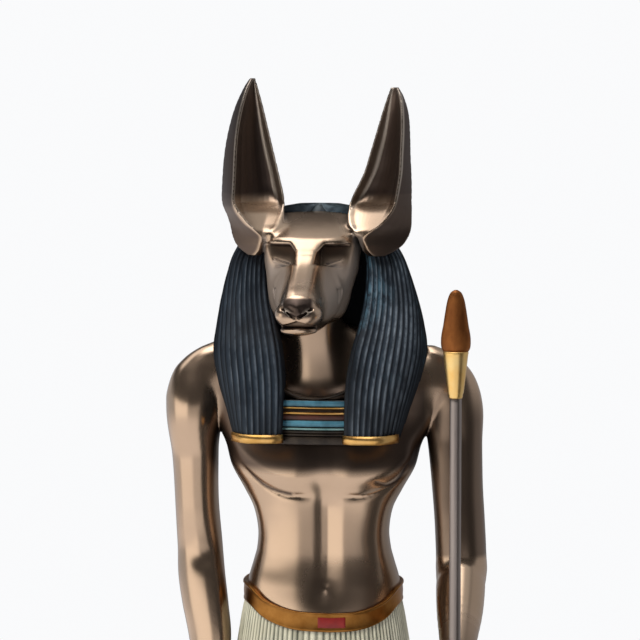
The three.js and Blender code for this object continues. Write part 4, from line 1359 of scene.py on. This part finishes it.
def make_backdrop():
    bpy.ops.mesh.primitive_uv_sphere_add(segments=48, ring_count=24, radius=6)
    dome = bpy.context.active_object
    dome.name = "backdrop"
    f = Finish("backdrop_paper")
    glow = f.node("Emission", None, {"Color": rgb(*BACKDROP)})
    f.tree.links.new(glow.socket, f.tree.nodes["Material Output"].inputs[0])
    dome.data.materials.append(f.material)
    for ray in ("diffuse", "glossy", "transmission", "volume_scatter", "shadow"):
        setattr(dome, "visible_" + ray, False)


class Sky:
    """The room that the metal mirrors, painted by direction."""

    def __init__(self):
        self.world = bpy.data.worlds.new("studio")
        self.world.use_nodes = True
        self.tree = self.world.node_tree
        way = self.tree.nodes.new("ShaderNodeTexCoord")
        parts = self.tree.nodes.new("ShaderNodeSeparateXYZ")
        self.tree.links.new(way.outputs["Generated"], parts.inputs[0])
        x, y, z = (Value(self.tree, parts.outputs[k]) for k in range(3))
        self.azimuth = x.math("ARCTAN2", -1.0 * y) * (180 / math.pi)
        self.elevation = z.math("ARCSINE") * (180 / math.pi)
        self.colour = None

    def panel(self, azimuth, elevation, soft, colour, strength):
        """A soft-edged rectangle of light between two azimuths (0 is straight in front) and elevations."""
        a, b = azimuth
        middle, half = (a + b) / 2, (b - a) / 2
        turned_to = (self.azimuth - middle + 540.0).math("MODULO", 360.0) - 180.0
        side = (half + soft / 2 - turned_to.math("ABSOLUTE")).step(0, soft)
        low, high = elevation
        up = (self.elevation - low + soft / 2).step(0, soft) * (high + soft / 2 - self.elevation).step(0, soft)
        self.add(side * up * strength, colour)

    def add(self, amount, colour):
        node = self.tree.nodes.new("ShaderNodeVectorMath")
        node.operation = "SCALE"
        node.inputs[0].default_value = colour
        if isinstance(amount, Value):
            self.tree.links.new(amount.socket, node.inputs["Scale"])
        else:
            node.inputs["Scale"].default_value = amount
        if self.colour is None:
            self.colour = node.outputs[0]
            return
        total = self.tree.nodes.new("ShaderNodeVectorMath")
        total.operation = "ADD"
        self.tree.links.new(self.colour, total.inputs[0])
        self.tree.links.new(node.outputs[0], total.inputs[1])
        self.colour = total.outputs[0]

    def finish(self):
        self.tree.links.new(self.colour, self.tree.nodes["Background"].inputs["Color"])
        bpy.context.scene.world = self.world


def make_sky():
    sky = Sky()
    sky.add(1.0, (0.06, 0.06, 0.062))
    sky.panel((-150, 36), (-90, -13), 8, (0.98, 0.98, 1.0), 0.9)
    sky.panel((-16, 36), (-13, 5), 6, (0.98, 0.98, 1.0), 0.5)
    sky.panel((-86, -16), (-13, 11), 7, (1.0, 0.99, 0.96), 1.3)
    sky.panel((-176, -90), (-13, 12), 8, (0.88, 0.95, 1.05), 0.5)
    sky.panel((-150, -96), (34, 58), 8, (0.97, 0.98, 1.0), 1.3)
    sky.panel((-150, 14), (58, 100), 8, (0.97, 0.98, 1.0), 3.2)
    sky.panel((14, 210), (78, 100), 6, (0.97, 0.98, 1.0), 2.0)
    sky.panel((14, 210), (54, 78), 8, (0.9, 0.95, 1.0), 0.5)
    sky.panel((78, 176), (-90, 50), 14, (0.92, 0.95, 1.0), 0.34)
    sky.finish()


def make_light(name, azimuth, elevation, distance, size, power, colour=(1, 1, 1)):
    """A square lamp that looks at the figure's chest."""
    lamp = bpy.data.lights.new(name, "AREA")
    lamp.size = size
    lamp.energy = power
    lamp.color = colour
    lamp_object = bpy.data.objects.new(name, lamp)
    a, e = math.radians(azimuth), math.radians(elevation)
    way = Vector((math.sin(a) * math.cos(e), -math.cos(a) * math.cos(e), math.sin(e)))
    aim = Vector((0, 0, 0.2))
    lamp_object.location = aim + way * distance
    lamp_object.rotation_euler = way.to_track_quat("Z", "Y").to_euler()
    lamp_object.visible_glossy = False
    bpy.context.scene.collection.objects.link(lamp_object)


CAMERA = {"azimuth": 7.0, "elevation": 5.0, "distance": 0.75, "target": (-0.00092, 0.006, 0.2265)}
MM_PER_PIXEL = 0.2636  # at the target, in a picture 640 pixels wide


def make_camera():
    camera = bpy.data.cameras.new("camera")
    camera.sensor_width = 36
    camera.lens = CAMERA["distance"] / MM / (MM_PER_PIXEL * 640) * camera.sensor_width
    camera.clip_end = 20
    camera_object = bpy.data.objects.new("camera", camera)
    a, e = math.radians(CAMERA["azimuth"]), math.radians(CAMERA["elevation"])
    way = Vector((math.sin(a) * math.cos(e), -math.cos(a) * math.cos(e), math.sin(e)))
    camera_object.location = Vector(CAMERA["target"]) + way * CAMERA["distance"]
    camera_object.rotation_euler = way.to_track_quat("Z", "Y").to_euler()
    bpy.context.scene.collection.objects.link(camera_object)
    bpy.context.scene.camera = camera_object


def dress(piece, material, node):
    """A finished piece takes its material and its node's place."""
    if material is not None:
        piece.data.materials.clear()
        piece.data.materials.append(material)
    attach(piece, "root")
    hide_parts(node)


def make_finishes():
    made = [
        polished_bronze(),
        wig_paint(),
        kilt_paint(),
        gold("tip_gold", (0.68, 0.36, 0.09), (0.9, 0.54, 0.19)),
        gold("belt_gold", (0.27, 0.108, 0.022), (0.42, 0.19, 0.046)),
        gold("socket_gold", (0.95, 0.56, 0.17), (1.0, 0.7, 0.29)),
        rod_bronze(),
        blade_copper(),
        block_bronze(),
        paint("turquoise", (0.025, 0.09, 0.13), (0.06, 0.19, 0.26), 0.3),
        paint("verdigris", (0.08, 0.17, 0.17), (0.2, 0.32, 0.31), 0.35),
        paint("oxblood", (0.03, 0.008, 0.004), (0.07, 0.016, 0.008), 0.35),
        paint("umber", (0.015, 0.01, 0.007), (0.045, 0.032, 0.022), 0.35, 0.4),
        paint("inlay_red", (0.16, 0.005, 0.004), (0.245, 0.01, 0.007), 0.4),
    ]
    return {material.name: material for material in made}


def main():
    bpy.context.scene.view_settings.view_transform = "Standard"
    finishes = make_finishes()
    dress(make_body(), finishes["polished_bronze"], "figure")
    dress(make_head(), finishes["polished_bronze"], "figure")
    dress(make_legs(), finishes["polished_bronze"], "figure")
    dress(make_wig(), finishes["wig_paint"], "figure")
    dress(make_tips(), finishes["tip_gold"], "figure")
    dress(make_collar(finishes), None, "figure")
    dress(make_kilt(), finishes["kilt_paint"], "figure")
    dress(make_belt(), finishes["belt_gold"], "figure")
    dress(make_inlay(), finishes["inlay_red"], "figure")
    dress(make_shaft(), finishes["rod_bronze"], "spear")
    dress(make_socket(), finishes["socket_gold"], "spear")
    dress(make_blade(), finishes["blade_copper"], "spear")
    dress(make_base(), finishes["block_bronze"], "base")
    make_floor()
    make_backdrop()
    make_sky()
    make_light("key", -35, 48, 1.0, 0.35, 9.0, (1.0, 0.97, 0.92))
    make_light("fill", 60, 20, 1.2, 0.6, 2.0, (0.92, 0.96, 1.0))
    make_camera()


main()
